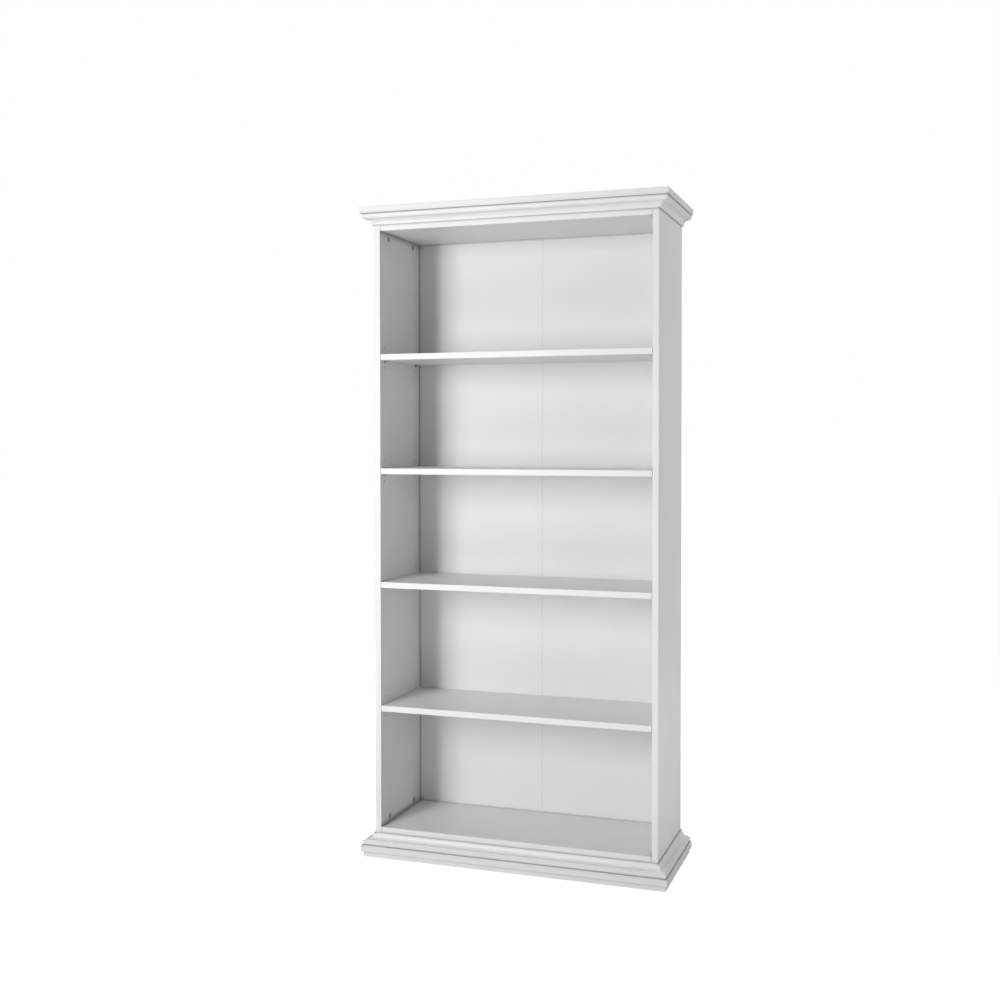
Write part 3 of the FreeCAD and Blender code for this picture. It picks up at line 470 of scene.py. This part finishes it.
def foiled_moulding(finishes):
    """White foil wrapped round fibreboard, which shows at the rear ends."""
    finish = Finish("foil_on_moulding")
    white = tuple(finishes.foil)
    bare = finish.facing_y.above(0.85, 0.95)
    fibre = finish.noise(0.0006, 3, finish.stretched(1, 1, 3)).mix(
        shade(finishes.fibre, 0.75), finishes.fibre)
    # painted shade along the joints beside the mouldings
    shaded_foil = painted_joint_shade(finish).mix(foil_tone(finish, white), PAINTED_SHADE)
    finish.set(Base_Color=bare.mix(shaded_foil, fibre))
    foil_surface(finish, finishes.foil_gloss - 0.03)
    finish.relief(finish.noise(0.0007, 2) * (0.03 + bare * 0.3), 0.0003, 0.6)
    return finish.material


def back_sheet(finishes):
    """Hardboard, lacquered white in front and brown with a screen's print behind."""
    finish = Finish("back_sheet")
    white = tuple(finishes.back_white)
    front = (finish.facing_y * -1).above(0.3, 0.7)
    lacquer = finish.noise(0.30, 3).above(0.3, 0.7).mix(shade(white, 0.98), white)
    # painted shade along the joints and in the corners of the carcass
    lacquer = painted_joint_shade(finish).mix(lacquer, PAINTED_SHADE)
    screen_pitch = 0.0017
    turn = math.tau / screen_pitch
    weave = (finish.x * turn).math("SINE") * (finish.z * turn).math("SINE")
    fibre = finish.noise(0.0035, 4, finish.stretched(1, 1, 0.6))
    brown = (fibre * 0.7 + weave * 0.12 + 0.15).mix(
        shade(finishes.hardboard, 0.55), shade(finishes.hardboard, 1.25))
    finish.set(Base_Color=front.mix(brown, lacquer),
               Roughness=0.80 - front * 0.32 + (fibre - 0.5) * 0.06, Specular_IOR_Level=0.4)
    finish.relief(finish.noise(0.0011, 2) * front * 0.06 + (weave + fibre) * (1 - front) * 0.4,
                  0.0003, 0.7)
    return finish.material


def joint_strip(finishes):
    """Extruded plastic with fine ribs along its length."""
    finish = Finish("joint_strip")
    rib_pitch = 0.0025
    ribs = (finish.x * (math.tau / rib_pitch)).math("SINE")
    dirt = finish.noise(0.05, 4).above(0.35, 0.75)
    finish.set(Base_Color=dirt.mix(finishes.strip, shade(finishes.strip, 0.9)),
               Roughness=0.45 + ribs * 0.05)
    finish.relief(ribs, 0.0002, 0.8)
    return finish.material


def bare_rail(finishes):
    """Particleboard with sawn faces."""
    finish = Finish("bare_rail")
    tone, height = chipboard(finish, finishes)
    finish.set(Base_Color=tone, Roughness=0.80 + finish.noise(0.02, 2) * 0.12,
               Specular_IOR_Level=0.3)
    finish.relief(height, 0.0003, 0.7)
    return finish.material


def cast_zinc(finishes):
    """Mottled die casting, bright on the faces, with shade painted dark round the rim."""
    finish = Finish("cast_zinc")
    mottle = finish.noise(0.004, 4)
    face = mottle.above(0.3, 0.7).mix(shade(finishes.zinc, 0.85), finishes.zinc)
    rim = finish.graph.node("Attribute", attribute_name=RIM, output="Fac")
    # painted shade: the cam's rim and sides nearly black
    finish.set(Base_Color=rim.mix(face, shade(finishes.zinc, 0.15)),
               Metallic=0.6, Roughness=0.42 + mottle * 0.2)
    finish.relief(finish.noise(0.0006, 2), 0.0001, 0.5)
    return finish.material


def plated_steel(finishes):
    """Zinc-plated steel with a faint yellow passivation that clouds."""
    finish = Finish("plated_steel")
    cloud = finish.noise(0.006, 3).above(0.35, 0.65)
    finish.set(Base_Color=cloud.mix(finishes.plating, shade(finishes.plating, 0.82)),
               Metallic=1.0, Roughness=0.26 + cloud * 0.14)
    finish.relief(finish.noise(0.0004, 2), 0.00005, 0.5)
    return finish.material


def dull_nickel(finishes):
    """Pressed steel with a dull plating, brushed up and down."""
    finish = Finish("dull_nickel")
    brushed = finish.noise(0.0006, 2, finish.stretched(1, 1, 0.08))
    finish.set(Base_Color=brushed.mix(shade(finishes.nickel, 0.9), shade(finishes.nickel, 1.1)),
               Metallic=0.9, Roughness=0.36 + brushed * 0.16)
    finish.relief(brushed, 0.00005, 0.6)
    return finish.material


def bare_beech(finishes):
    """Beech with short dark flecks and pale growth lines."""
    finish = Finish("bare_beech")
    lines = finish.noise(0.0012, 3)
    flecks = finish.noise(0.0005, 2, finish.stretched(0.25, 1, 0.25)).above(0.62, 0.74)
    tone = lines.mix(shade(finishes.beech, 0.85), shade(finishes.beech, 1.1))
    finish.set(Base_Color=(flecks * 0.5).mix(tone, shade(finishes.beech, 0.5)),
               Roughness=0.62 + lines * 0.12)
    finish.relief(lines, 0.0001, 0.6)
    return finish.material


# ---------------------------------------------------------------- mesh helpers

def solids(node):
    """Lowest and highest corner of each separate solid of a CAD node, in a steady order."""
    copy = bmesh.new()
    copy.from_mesh(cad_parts[node].data)
    bmesh.ops.remove_doubles(copy, verts=copy.verts, dist=MERGE)
    left, boxes = set(copy.verts), []
    while left:
        to_visit = [left.pop()]
        found = list(to_visit)
        while to_visit:
            vert = to_visit.pop()
            for edge in vert.link_edges:
                other = edge.other_vert(vert)
                if other in left:
                    left.remove(other)
                    found.append(other)
                    to_visit.append(other)
        low = Vector([min(vert.co[axis] for vert in found) for axis in range(3)])
        high = Vector([max(vert.co[axis] for vert in found) for axis in range(3)])
        boxes.append((low, high))
    copy.free()
    return sorted(boxes, key=lambda box: tuple(round(value, 4) for value in box[0]))


def add_copy(shape, master, matrix):
    """Add a master mesh to a shape, moved by a matrix."""
    start = len(shape.verts)
    shape.from_mesh(master)
    shape.verts.ensure_lookup_table()
    bmesh.ops.transform(shape, matrix=matrix, verts=shape.verts[start:])


def pointing(place, direction):
    """A matrix that puts the origin at a place and turns local Z to a direction."""
    return Matrix.Translation(place) @ direction.to_track_quat("Z", "Y").to_matrix().to_4x4()


def turned(shape, outline, steps):
    """Revolve (radius, height) points about local Z."""
    verts = [shape.verts.new((radius, 0, height)) for radius, height in outline]
    edges = [shape.edges.new(pair) for pair in zip(verts, verts[1:])]
    bmesh.ops.spin(shape, geom=verts + edges, cent=(0, 0, 0), axis=UP, angle=math.tau,
                   steps=steps, use_merge=True)
    bmesh.ops.remove_doubles(shape, verts=shape.verts, dist=MERGE)


def thread(shape, crest, root, pitch, low, high, steps):
    """A helical ridge from height low to high, its foot just inside the core."""
    foot = root - (crest - root) * 0.3
    corners = [(foot, -0.4 * pitch), (crest, 0), (foot, 0.4 * pitch)]
    start = len(shape.verts)
    verts = [shape.verts.new((radius, 0, low + height)) for radius, height in corners]
    edges = [shape.edges.new((verts[i], verts[(i + 1) % 3])) for i in range(3)]
    count = math.ceil((high - low) / pitch * steps)
    bmesh.ops.spin(shape, geom=verts + edges, cent=(0, 0, 0), axis=UP,
                   angle=math.tau * (high - low) / pitch, steps=count,
                   dvec=(0, 0, (high - low) / count), use_merge=False)
    shape.verts.ensure_lookup_table()
    ridge = set(shape.verts[start:])
    ends = [edge for edge in shape.edges if edge.is_boundary and edge.verts[0] in ridge]
    bmesh.ops.holes_fill(shape, edges=ends, sides=3)
    return ridge


def keep(shape, name, material, slot, *nodes):
    """Finish a mesh as a piece that stands for CAD nodes and moves with the carcass."""
    open_edges = sum(not edge.is_manifold for edge in shape.edges)
    if open_edges:
        raise RuntimeError(f"{name} has {open_edges} open edges")
    data = bpy.data.meshes.new(name)
    shape.to_mesh(data)
    shape.free()
    data.shade_smooth()
    data.set_sharp_from_angle(angle=SMOOTH)
    data.materials.append(material)
    piece = bpy.data.objects.new(name, data)
    bpy.context.scene.collection.objects.link(piece)
    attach(piece, BODY)
    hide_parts(*nodes)
    return piece


def master_mesh(shape):
    """Turn a finished shape into a mesh that can be added several times."""
    bmesh.ops.recalc_face_normals(shape, faces=shape.faces)
    mesh = bpy.data.meshes.new("master")
    shape.to_mesh(mesh)
    shape.free()
    return mesh


def paint(nodes, material):
    """Give CAD nodes one material."""
    for node in nodes:
        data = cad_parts[node].data
        data.materials.clear()
        data.materials.append(material)


# ---------------------------------------------------------------- pieces

def cove_section(sizes, reach, height):
    """(outwards, height) points of the moulding's section, from its narrow inner corner."""
    toe, cove, rise = sizes.toe_width, sizes.cove_radius, sizes.toe_height
    hollow = []
    for step in range(sizes.cove_steps + 1):
        angle = math.pi / 2 * step / sizes.cove_steps
        hollow.append((toe + cove * (1 - math.cos(angle)), rise + cove * math.sin(angle)))
    quirk = toe + cove + sizes.quirk_width
    quirk_top = rise + cove + sizes.quirk_height
    return [(0, 0), (toe, 0), *hollow, (quirk, rise + cove), (quirk, quirk_top),
            (reach, quirk_top), (reach, height), (0, height)]


def moulding(section, place):
    """A closed bar through place(outwards, height, end) for each point at ends 0 and 1."""
    shape = bmesh.new()
    first, last = ([shape.verts.new(place(out, high, end)) for out, high in section]
                   for end in (0, 1))
    rims = []
    for verts in (first, last):
        rims += [shape.edges.new((verts[i - 1], verts[i])) for i in range(len(verts))]
        shape.faces.new(verts)
    bmesh.ops.bridge_loops(shape, edges=rims)
    bmesh.ops.recalc_face_normals(shape, faces=shape.faces)
    return shape, {(a, b) for a, b in zip(first, last)}


def round_arrises(shape, runs, arris, reach_of):
    """Round the outward corners that run along a moulding."""
    edges = [edge for edge in shape.edges
             if (edge.verts[0], edge.verts[1]) in runs or (edge.verts[1], edge.verts[0]) in runs]
    convex = [edge for edge in edges
              if edge.calc_face_angle_signed() > SHARP and reach_of(edge) > arris]
    bmesh.ops.bevel(shape, geom=convex, offset=arris, segments=3, profile=0.5, affect="EDGES",
                    material=-1)


class BOOKCASE_OT_mouldings(bpy.types.Operator):
    """Make the six cove mouldings, mitred at the front corners"""

    bl_idname = "bookcase.mouldings"
    bl_label = "Mouldings"

    def execute(self, context):
        sizes = context.scene.bookcase_mouldings
        material = foiled_moulding(context.scene.bookcase_finishes)
        panel_low, panel_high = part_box("left_side_panel")
        half, front, rear = -panel_low.x, panel_low.y, panel_high.y
        for level in ("cornice", "base"):
            low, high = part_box(f"{level}_front_moulding")
            start, rise = (low.z, 1) if level == "cornice" else (high.z, -1)
            section = cove_section(sizes, front - low.y, high.z - low.z)
            mitre = half - sizes.mitre_gap

            def front_place(out, height, end):
                side = 2 * end - 1
                return side * (mitre + out), front - out, start + rise * height

            def side_place(side):
                def place(out, height, end):
                    along = rear if end else front - out + sizes.mitre_gap
                    return side * (half + out), along, start + rise * height
                return place

            for name, place in (("front", front_place), ("left", side_place(-1)),
                                ("right", side_place(1))):
                shape, runs = moulding(section, place)

                def reach_of(edge, name=name):
                    at = edge.verts[0].co
                    return front - at.y if name == "front" else abs(at.x) - half

                round_arrises(shape, runs, sizes.arris, reach_of)
                keep(shape, f"{level}_{name}_cove", material, "white_moulding",
                     f"{level}_{name}_moulding")
        return {"FINISHED"}


class BOOKCASE_OT_boards(bpy.types.Operator):
    """Finish the sides, shelves, fixed panels, cornice board, base plate and plinth"""

    bl_idname = "bookcase.boards"
    bl_label = "Boards"

    def execute(self, context):
        finishes = context.scene.bookcase_finishes
        bare_faces = {
            "left_side_panel": ("z",), "right_side_panel": ("z",),
            "top_panel": ("x", "rear"), "bottom_shelf": ("x", "rear"),
            "cornice_top_board": ("rear",), "base_plate": ("rear",),
            "plinth_front": (), "plinth_rear": ("x", "rear"), "plinth_left": ("rear",),
            "plinth_right": ("rear",), **{shelf: ("rear",) for shelf in SHELVES}}
        for node, bare in bare_faces.items():
            paint([node], foiled_board(node, finishes, bare, fixed=node not in SHELVES,
                                       front_joints=node in FIXED_PANELS))
        return {"FINISHED"}


class BOOKCASE_OT_back(bpy.types.Operator):
    """Finish the two back sheets and the strip behind their joint"""

    bl_idname = "bookcase.back"
    bl_label = "Back"

    def execute(self, context):
        finishes = context.scene.bookcase_finishes
        paint(["back_panel_left", "back_panel_right"], back_sheet(finishes))
        paint(["back_joint_strip"], joint_strip(finishes))
        return {"FINISHED"}


class BOOKCASE_OT_rails(bpy.types.Operator):
    """Finish the bare rails inside the cornice and the base"""

    bl_idname = "bookcase.rails"
    bl_label = "Rails"

    def execute(self, context):
        rails = [f"{level}_{side}_rail" for level in ("cornice", "base")
                 for side in ("front", "rear", "left", "right")]
        paint(rails, bare_rail(context.scene.bookcase_finishes))
        return {"FINISHED"}


def plain_copy(node):
    """The CAD node's own shape, without the lines between the triangles of a flat."""
    shape = bmesh.new()
    shape.from_mesh(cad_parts[node].data)
    bmesh.ops.remove_doubles(shape, verts=shape.verts, dist=MERGE)
    bmesh.ops.dissolve_limit(shape, angle_limit=math.radians(1), verts=shape.verts,
                             edges=shape.edges)
    return shape


def soften(shape, edge_size, wanted=None):
    """Round the sharp edges of a shape, or those of them that are wanted."""
    sharp = [edge for edge in shape.edges
             if edge.is_manifold and edge.calc_face_angle() > SHARP
             and (wanted is None or wanted(edge))]
    bmesh.ops.bevel(shape, geom=sharp, offset=edge_size, segments=2, profile=0.5,
                    affect="EDGES", material=-1, clamp_overlap=True)


def cam_rims(boxes, axis, radius):
    """A test for the round edges at the two ends of cams that lie along one axis."""
    def wanted(edge):
        for low, high in boxes:
            middle = (low + high) / 2
            offsets = [vert.co - middle for vert in edge.verts]
            if max(offset.length for offset in offsets) > 1.5 * radius:
                continue
            reach = (high - low)[axis] / 2
            at_end = all(abs(abs(offset[axis]) - reach) < MERGE * 10 for offset in offsets)
            for offset in offsets:
                offset[axis] = 0
            return at_end and all(offset.length > 0.97 * radius for offset in offsets)
        return False
    return wanted


class BOOKCASE_OT_supports(bpy.types.Operator):
    """Make the supports under the four shelves, pressed and plated"""

    bl_idname = "bookcase.supports"
    bl_label = "Shelf supports"

    def execute(self, context):
        material = dull_nickel(context.scene.bookcase_finishes)
        edge = context.scene.bookcase_fittings.edge
        for shelf in SHELVES:
            shape = plain_copy(f"{shelf}_supports")
            soften(shape, edge)
            keep(shape, f"{shelf}_plated_supports", material, "support_metal",
                 f"{shelf}_supports")
        return {"FINISHED"}


class BOOKCASE_OT_cams(bpy.types.Operator):
    """Make the cam locks, cast and slotted"""

    bl_idname = "bookcase.cams"
    bl_label = "Cam locks"

    def execute(self, context):
        material = cast_zinc(context.scene.bookcase_finishes)
        sizes = context.scene.bookcase_fittings
        for boards, axis in (("side", 0), ("panel", 2)):
            boxes = solids(f"{boards}_cam_locks")
            radius = (boxes[0][1] - boxes[0][0]).y / 2
            shape = plain_copy(f"{boards}_cam_locks")
            rim = shape.faces.layers.float.new(RIM)
            soften(shape, sizes.cam_rim, cam_rims(boxes, axis, radius))
            for face in shape.faces:
                face[rim] = float(abs(face.normal[axis]) < 0.99)
            soften(shape, sizes.edge)
            keep(shape, f"{boards}_cast_cams", material, "zinc", f"{boards}_cam_locks")
        return {"FINISHED"}


class BOOKCASE_OT_bolts(bpy.types.Operator):
    """Turn the cam bolts, with a thread that bites into the board"""

    bl_idname = "bookcase.bolts"
    bl_label = "Cam bolts"

    def execute(self, context):
        sizes = context.scene.bookcase_fittings
        material = plated_steel(context.scene.bookcase_finishes)
        for boards in ("side", "panel"):
            group = bmesh.new()
            master = None
            for low, high in solids(f"{boards}_cam_bolts"):
                size, middle = high - low, (low + high) / 2
                axis = max(range(3), key=lambda i: size[i])
                if master is None:
                    master = cam_bolt(sizes, size[axis], sorted(size)[0] / 2)
                outwards = Vector([0, 0, 0])
                centre = (cad_bounds[0] + cad_bounds[1]) / 2
                outwards[axis] = math.copysign(1, middle[axis] - centre[axis])
                add_copy(group, master, pointing(middle - outwards * size[axis] / 2, outwards))
            keep(group, f"{boards}_threaded_bolts", material, "steel", f"{boards}_cam_bolts")
        return {"FINISHED"}


def cam_bolt(sizes, whole, shank):
    """A cam bolt of a whole length that stands on its head."""
    core = sizes.thread_radius - sizes.thread_depth
    head, bevel = sizes.head_radius, sizes.edge * 2
    joint = sizes.head_length / 2 + sizes.cam_inset
    neck_end = sizes.head_length / 2 + sizes.neck_length
    tip = sizes.thread_pitch / 2
    outline = [
        (0, 0), (head - bevel, 0), (head, bevel), (head, sizes.head_length - bevel),
        (head - bevel, sizes.head_length), (sizes.neck_radius, sizes.head_length),
        (sizes.neck_radius, neck_end), (shank - bevel, neck_end), (shank, neck_end + bevel),
        (shank, joint - bevel), (shank - bevel, joint), (core, joint), (core, whole - tip),
        (core * 0.6, whole), (0, whole)]
    shape = bmesh.new()
    turned(shape, outline, sizes.round_steps)
    thread(shape, sizes.thread_radius, core, sizes.thread_pitch, joint + sizes.thread_pitch,
           whole - sizes.thread_pitch, sizes.round_steps)
    return master_mesh(shape)


RECESS_TAPER = 0.55   # width of a cross recess at its floor, as a share of its mouth


def cross_recess(shape, rim, sizes):
    """Close the head's open rim with a face that has a tapering cross recess in it."""
    far, near = sizes.recess_length / 2, sizes.recess_width / 2
    quarter = [(far, -near), (far, near), (near, near)]
    corners = []
    for turn in range(4):
        corners += [Matrix.Rotation(math.pi / 2 * turn, 2) @ Vector(corner) for corner in quarter]
    verts = [shape.verts.new((corner.x, corner.y, 0)) for corner in corners]
    edges = [shape.edges.new((verts[i - 1], verts[i])) for i in range(len(verts))]
    bmesh.ops.triangle_fill(shape, edges=rim + edges, use_beauty=True, use_dissolve=False)
    made = bmesh.ops.extrude_edge_only(shape, edges=edges)["geom"]
    floor = [item for item in made if isinstance(item, bmesh.types.BMVert)]
    bmesh.ops.scale(shape, vec=(RECESS_TAPER, RECESS_TAPER, 1), verts=floor)
    bmesh.ops.translate(shape, vec=(0, 0, sizes.recess_depth), verts=floor)
    ring = [item for item in made if isinstance(item, bmesh.types.BMEdge)]
    bmesh.ops.triangle_fill(shape, edges=ring, use_beauty=True, use_dissolve=False)


def wood_screw(sizes, whole, head_radius):
    """A countersunk screw of a whole length, its head's face at the origin."""
    core = sizes.screw_radius - sizes.screw_depth
    tip_start = whole - sizes.screw_tip
    outline = [
        (head_radius, 0), (head_radius, sizes.screw_rim),
        (sizes.screw_radius, sizes.screw_head), (sizes.screw_radius, 2 * sizes.screw_head),
        (core, 2 * sizes.screw_head + sizes.screw_depth), (core, tip_start), (0, whole)]
    shape = bmesh.new()
    turned(shape, outline, sizes.round_steps)
    rim = [edge for edge in shape.edges if edge.is_boundary]
    cross_recess(shape, rim, sizes)
    ridge = thread(shape, sizes.screw_radius, core, sizes.screw_pitch,
                   2 * sizes.screw_head + sizes.screw_pitch, whole - sizes.screw_tip / 3,
                   sizes.round_steps)
    for vert in ridge:
        share = max(0, (vert.co.z - tip_start) / sizes.screw_tip)
        vert.co.x *= 1 - share
        vert.co.y *= 1 - share
    return master_mesh(shape)


class BOOKCASE_OT_screws(bpy.types.Operator):
    """Turn the countersunk screws, with a cross recess and a thread"""

    bl_idname = "bookcase.screws"
    bl_label = "Screws"

    def execute(self, context):
        sizes = context.scene.bookcase_fittings
        material = plated_steel(context.scene.bookcase_finishes)
        for node, direction in (("cornice_screws", UP), ("base_screws", -UP),
                                ("plinth_screws", UP)):
            group = bmesh.new()
            master = None
            for low, high in solids(node):
                size, middle = high - low, (low + high) / 2
                if master is None:
                    master = wood_screw(sizes, size.z, size.x / 2)
                add_copy(group, master, pointing(middle - direction * size.z / 2, direction))
            keep(group, f"{node}_threaded", material, "steel", node)
        return {"FINISHED"}


def fluted_dowel(sizes, whole, radius):
    """A dowel along local Z, with flutes and chamfered ends."""
    shape = bmesh.new()
    inner = radius - sizes.dowel_chamfer
    turned(shape, [(0, 0), (inner, 0), (radius, sizes.dowel_chamfer),
                   (radius, whole - sizes.dowel_chamfer), (inner, whole), (0, whole)],
           4 * sizes.flutes)
    bottom = 1 - sizes.flute_depth / radius
    for vert in shape.verts:
        around = math.atan2(vert.co.y, vert.co.x) / math.tau * sizes.flutes
        outer = math.hypot(vert.co.x, vert.co.y) > inner + MERGE
        if outer and abs(around - round(around)) < 0.1:
            vert.co.x *= bottom
            vert.co.y *= bottom
    return master_mesh(shape)


class BOOKCASE_OT_dowels(bpy.types.Operator):
    """Make the beech dowels, fluted for glue"""

    bl_idname = "bookcase.dowels"
    bl_label = "Dowels"

    def execute(self, context):
        sizes = context.scene.bookcase_fittings
        material = bare_beech(context.scene.bookcase_finishes)
        for boards in ("side", "panel"):
            group = bmesh.new()
            master = None
            for low, high in solids(f"{boards}_dowels"):
                size, middle = high - low, (low + high) / 2
                axis = max(range(3), key=lambda i: size[i])
                if master is None:
                    master = fluted_dowel(sizes, size[axis], sorted(size)[0] / 2)
                direction = Vector([float(i == axis) for i in range(3)])
                add_copy(group, master, pointing(middle - direction * size[axis] / 2, direction))
            keep(group, f"{boards}_fluted_dowels", material, "beech", f"{boards}_dowels")
        return {"FINISHED"}


def panel_nail(sizes, whole, head_radius):
    """A nail along local Z, its head at the origin, with rings under the head and a point."""
    radius, head = sizes.nail_radius, sizes.nail_head
    ring = radius * 0.3
    outline = [(0, 0), (head_radius * 0.8, 0), (head_radius, head * 0.4),
               (head_radius, head * 0.7), (radius * 1.3, head), (radius, head + ring)]
    for number in range(3):
        start = head + ring * (3 * number + 2)
        outline += [(radius, start), (radius - ring, start + ring), (radius, start + 2 * ring)]
    outline += [(radius, whole - sizes.nail_point), (0, whole)]
    shape = bmesh.new()
    turned(shape, outline, sizes.round_steps // 2)
    return master_mesh(shape)


class BOOKCASE_OT_nails(bpy.types.Operator):
    """Make the nails that hold the back"""

    bl_idname = "bookcase.nails"
    bl_label = "Nails"

    def execute(self, context):
        sizes = context.scene.bookcase_fittings
        forwards = Vector((0, -1, 0))
        group = bmesh.new()
        master = None
        for low, high in solids("back_panel_nails"):
            size, middle = high - low, (low + high) / 2
            if master is None:
                master = panel_nail(sizes, size.y, size.x / 2)
            add_copy(group, master, pointing(middle - forwards * size.y / 2, forwards))
        keep(group, "back_ringed_nails", plated_steel(context.scene.bookcase_finishes), "steel",
             "back_panel_nails")
        return {"FINISHED"}


# ---------------------------------------------------------------- stage

# Each soft box's bearing in degrees to the left of the front, distance, height, width and length
SOFT_BOXES = {
    "key": (19.0, 3.6, 1.5, 0.32, 1.9),
    "broad": (26.1, 3.6, 1.5, 0.79, 1.9),
    "upper": (20, 4.3, 5.4, 1.2, 2.0),
    "side": (-115, 3.2, 2.0, 1.0, 0.8),
    "fill": (-60, 4.3, 1.2, 1.2, 2.0),
    "rear": (175, 2.8, 3.4, 1.6, 1.2),
}
REFLECTORS = {"bounce": (1.7, 0, 0.02), "front_bounce": (0, -1.6, 0.02)}
REFLECTOR_SIDE = 1.8
LIT_POINT = Vector((0, 0, 1))  # where every soft box points
BURNT_OUT = 1.15               # strength of the white of an overexposed floor


class BOOKCASE_OT_stage(bpy.types.Operator):
    """Set the pale floor, the soft lights and the camera"""

    bl_idname = "bookcase.stage"
    bl_label = "Stage"

    def execute(self, context):
        sizes = context.scene.bookcase_stage
        add_floor(sizes)
        add_surround(context.scene, sizes)
        for name, layout in SOFT_BOXES.items():
            add_light(context.scene, name, getattr(sizes, f"{name}_power"), *layout)
        for name, place in REFLECTORS.items():
            add_reflector(context.scene, name, getattr(sizes, f"{name}_power"), place)
        add_camera(context.scene, sizes)
        context.scene.view_settings.view_transform = "Standard"
        return {"FINISHED"}


def add_floor(sizes):
    """A pale floor that is seen as white, and lights the bookcase as a pale floor does."""
    shape = bmesh.new()
    bmesh.ops.create_grid(shape, x_segments=1, y_segments=1, size=sizes.floor_size / 2)
    data = bpy.data.meshes.new("floor")
    shape.to_mesh(data)
    shape.free()
    finish = Finish("pale_floor")
    tone = finish.noise(0.5, 2).mix(shade(sizes.floor, 0.99), sizes.floor)
    finish.set(Base_Color=tone, Roughness=0.7, Emission_Color=(1, 1, 1),
               Emission_Strength=sizes.floor_glow)
    seen = finish.graph.node("LightPath", output="Is Camera Ray")
    white = finish.graph.node("Emission", {"Strength": BURNT_OUT})
    lit = Wire(finish.graph.tree, finish.shader.outputs["BSDF"])
    look = finish.graph.node("MixShader", {0: seen * sizes.floor_white, 1: lit, 2: white})
    finish.output(look)
    data.materials.append(finish.material)
    floor = bpy.data.objects.new("floor", data)
    bpy.context.scene.collection.objects.link(floor)


def add_surround(scene, sizes):
    """Even light all round, with a white background behind the bookcase."""
    world = bpy.data.worlds.new("surround")
    world.use_nodes = True
    tree = world.node_tree
    tree.nodes.clear()
    graph = Wire(tree)
    seen = graph.node("LightPath", output="Is Camera Ray")
    light = graph.node("Background", {"Strength": seen * (1 - sizes.surround) + sizes.surround})
    graph.node("OutputWorld", {"Surface": light})
    light.socket.node.inputs["Color"].default_value = (1, 1, 1, 1)
    scene.world = world


def add_light(scene, name, watts, bearing, distance, height, width, tall):
    """A soft box round the bookcase, its bearing in degrees to the left of the front."""
    lamp = bpy.data.lights.new(name, "AREA")
    lamp.shape = "RECTANGLE"
    lamp.size, lamp.size_y = width, tall
    lamp.energy = watts
    light = bpy.data.objects.new(name, lamp)
    turn = math.radians(bearing)
    light.location = (-distance * math.sin(turn), -distance * math.cos(turn), height)
    light.rotation_euler = (LIT_POINT - light.location).to_track_quat("-Z", "Y").to_euler()
    scene.collection.objects.link(light)


def add_reflector(scene, name, watts, place):
    """A square sheet on the floor that throws soft light up and isn't seen."""
    lamp = bpy.data.lights.new(name, "AREA")
    lamp.size = REFLECTOR_SIDE
    lamp.energy = watts
    light = bpy.data.objects.new(name, lamp)
    light.location = place
    light.rotation_euler = (math.pi, 0, 0)
    light.visible_camera = False
    scene.collection.objects.link(light)


def add_camera(scene, sizes):
    """A camera in front and to the right, level with the middle shelves."""
    data = bpy.data.cameras.new("camera")
    data.lens = sizes.lens
    data.shift_x, data.shift_y = sizes.shift
    data.clip_end = 100
    camera = bpy.data.objects.new("camera", data)
    camera.location = sizes.camera_place
    camera.rotation_euler = sizes.camera_turn
    scene.collection.objects.link(camera)
    scene.camera = camera


# ---------------------------------------------------------------- add-on

OPERATORS = (
    BOOKCASE_OT_boards, BOOKCASE_OT_mouldings, BOOKCASE_OT_back, BOOKCASE_OT_rails,
    BOOKCASE_OT_supports, BOOKCASE_OT_cams, BOOKCASE_OT_bolts, BOOKCASE_OT_screws,
    BOOKCASE_OT_dowels, BOOKCASE_OT_nails, BOOKCASE_OT_stage)


class BOOKCASE_PT_panel(bpy.types.Panel):
    """Lists the bookcase's operators"""

    bl_idname = "BOOKCASE_PT_panel"
    bl_label = "Bookcase"
    bl_space_type = "VIEW_3D"
    bl_region_type = "UI"
    bl_category = "Bookcase"

    def draw(self, context):
        for operator in OPERATORS:
            self.layout.operator(operator.bl_idname)


SETTINGS = {
    "bookcase_finishes": BookcaseFinishes,
    "bookcase_mouldings": BookcaseMouldings,
    "bookcase_fittings": BookcaseFittings,
    "bookcase_stage": BookcaseStage,
}


def register():
    for cls in (*SETTINGS.values(), *OPERATORS, BOOKCASE_PT_panel):
        bpy.utils.register_class(cls)
    for name, group in SETTINGS.items():
        setattr(bpy.types.Scene, name, PointerProperty(type=group))


def unregister():
    for name in SETTINGS:
        delattr(bpy.types.Scene, name)
    for cls in (BOOKCASE_PT_panel, *reversed(OPERATORS), *SETTINGS.values()):
        bpy.utils.unregister_class(cls)


def main():
    register()
    for operator in OPERATORS:
        category, name = operator.bl_idname.split(".")
        getattr(getattr(bpy.ops, category), name)()


if __name__ == "__main__":
    main()
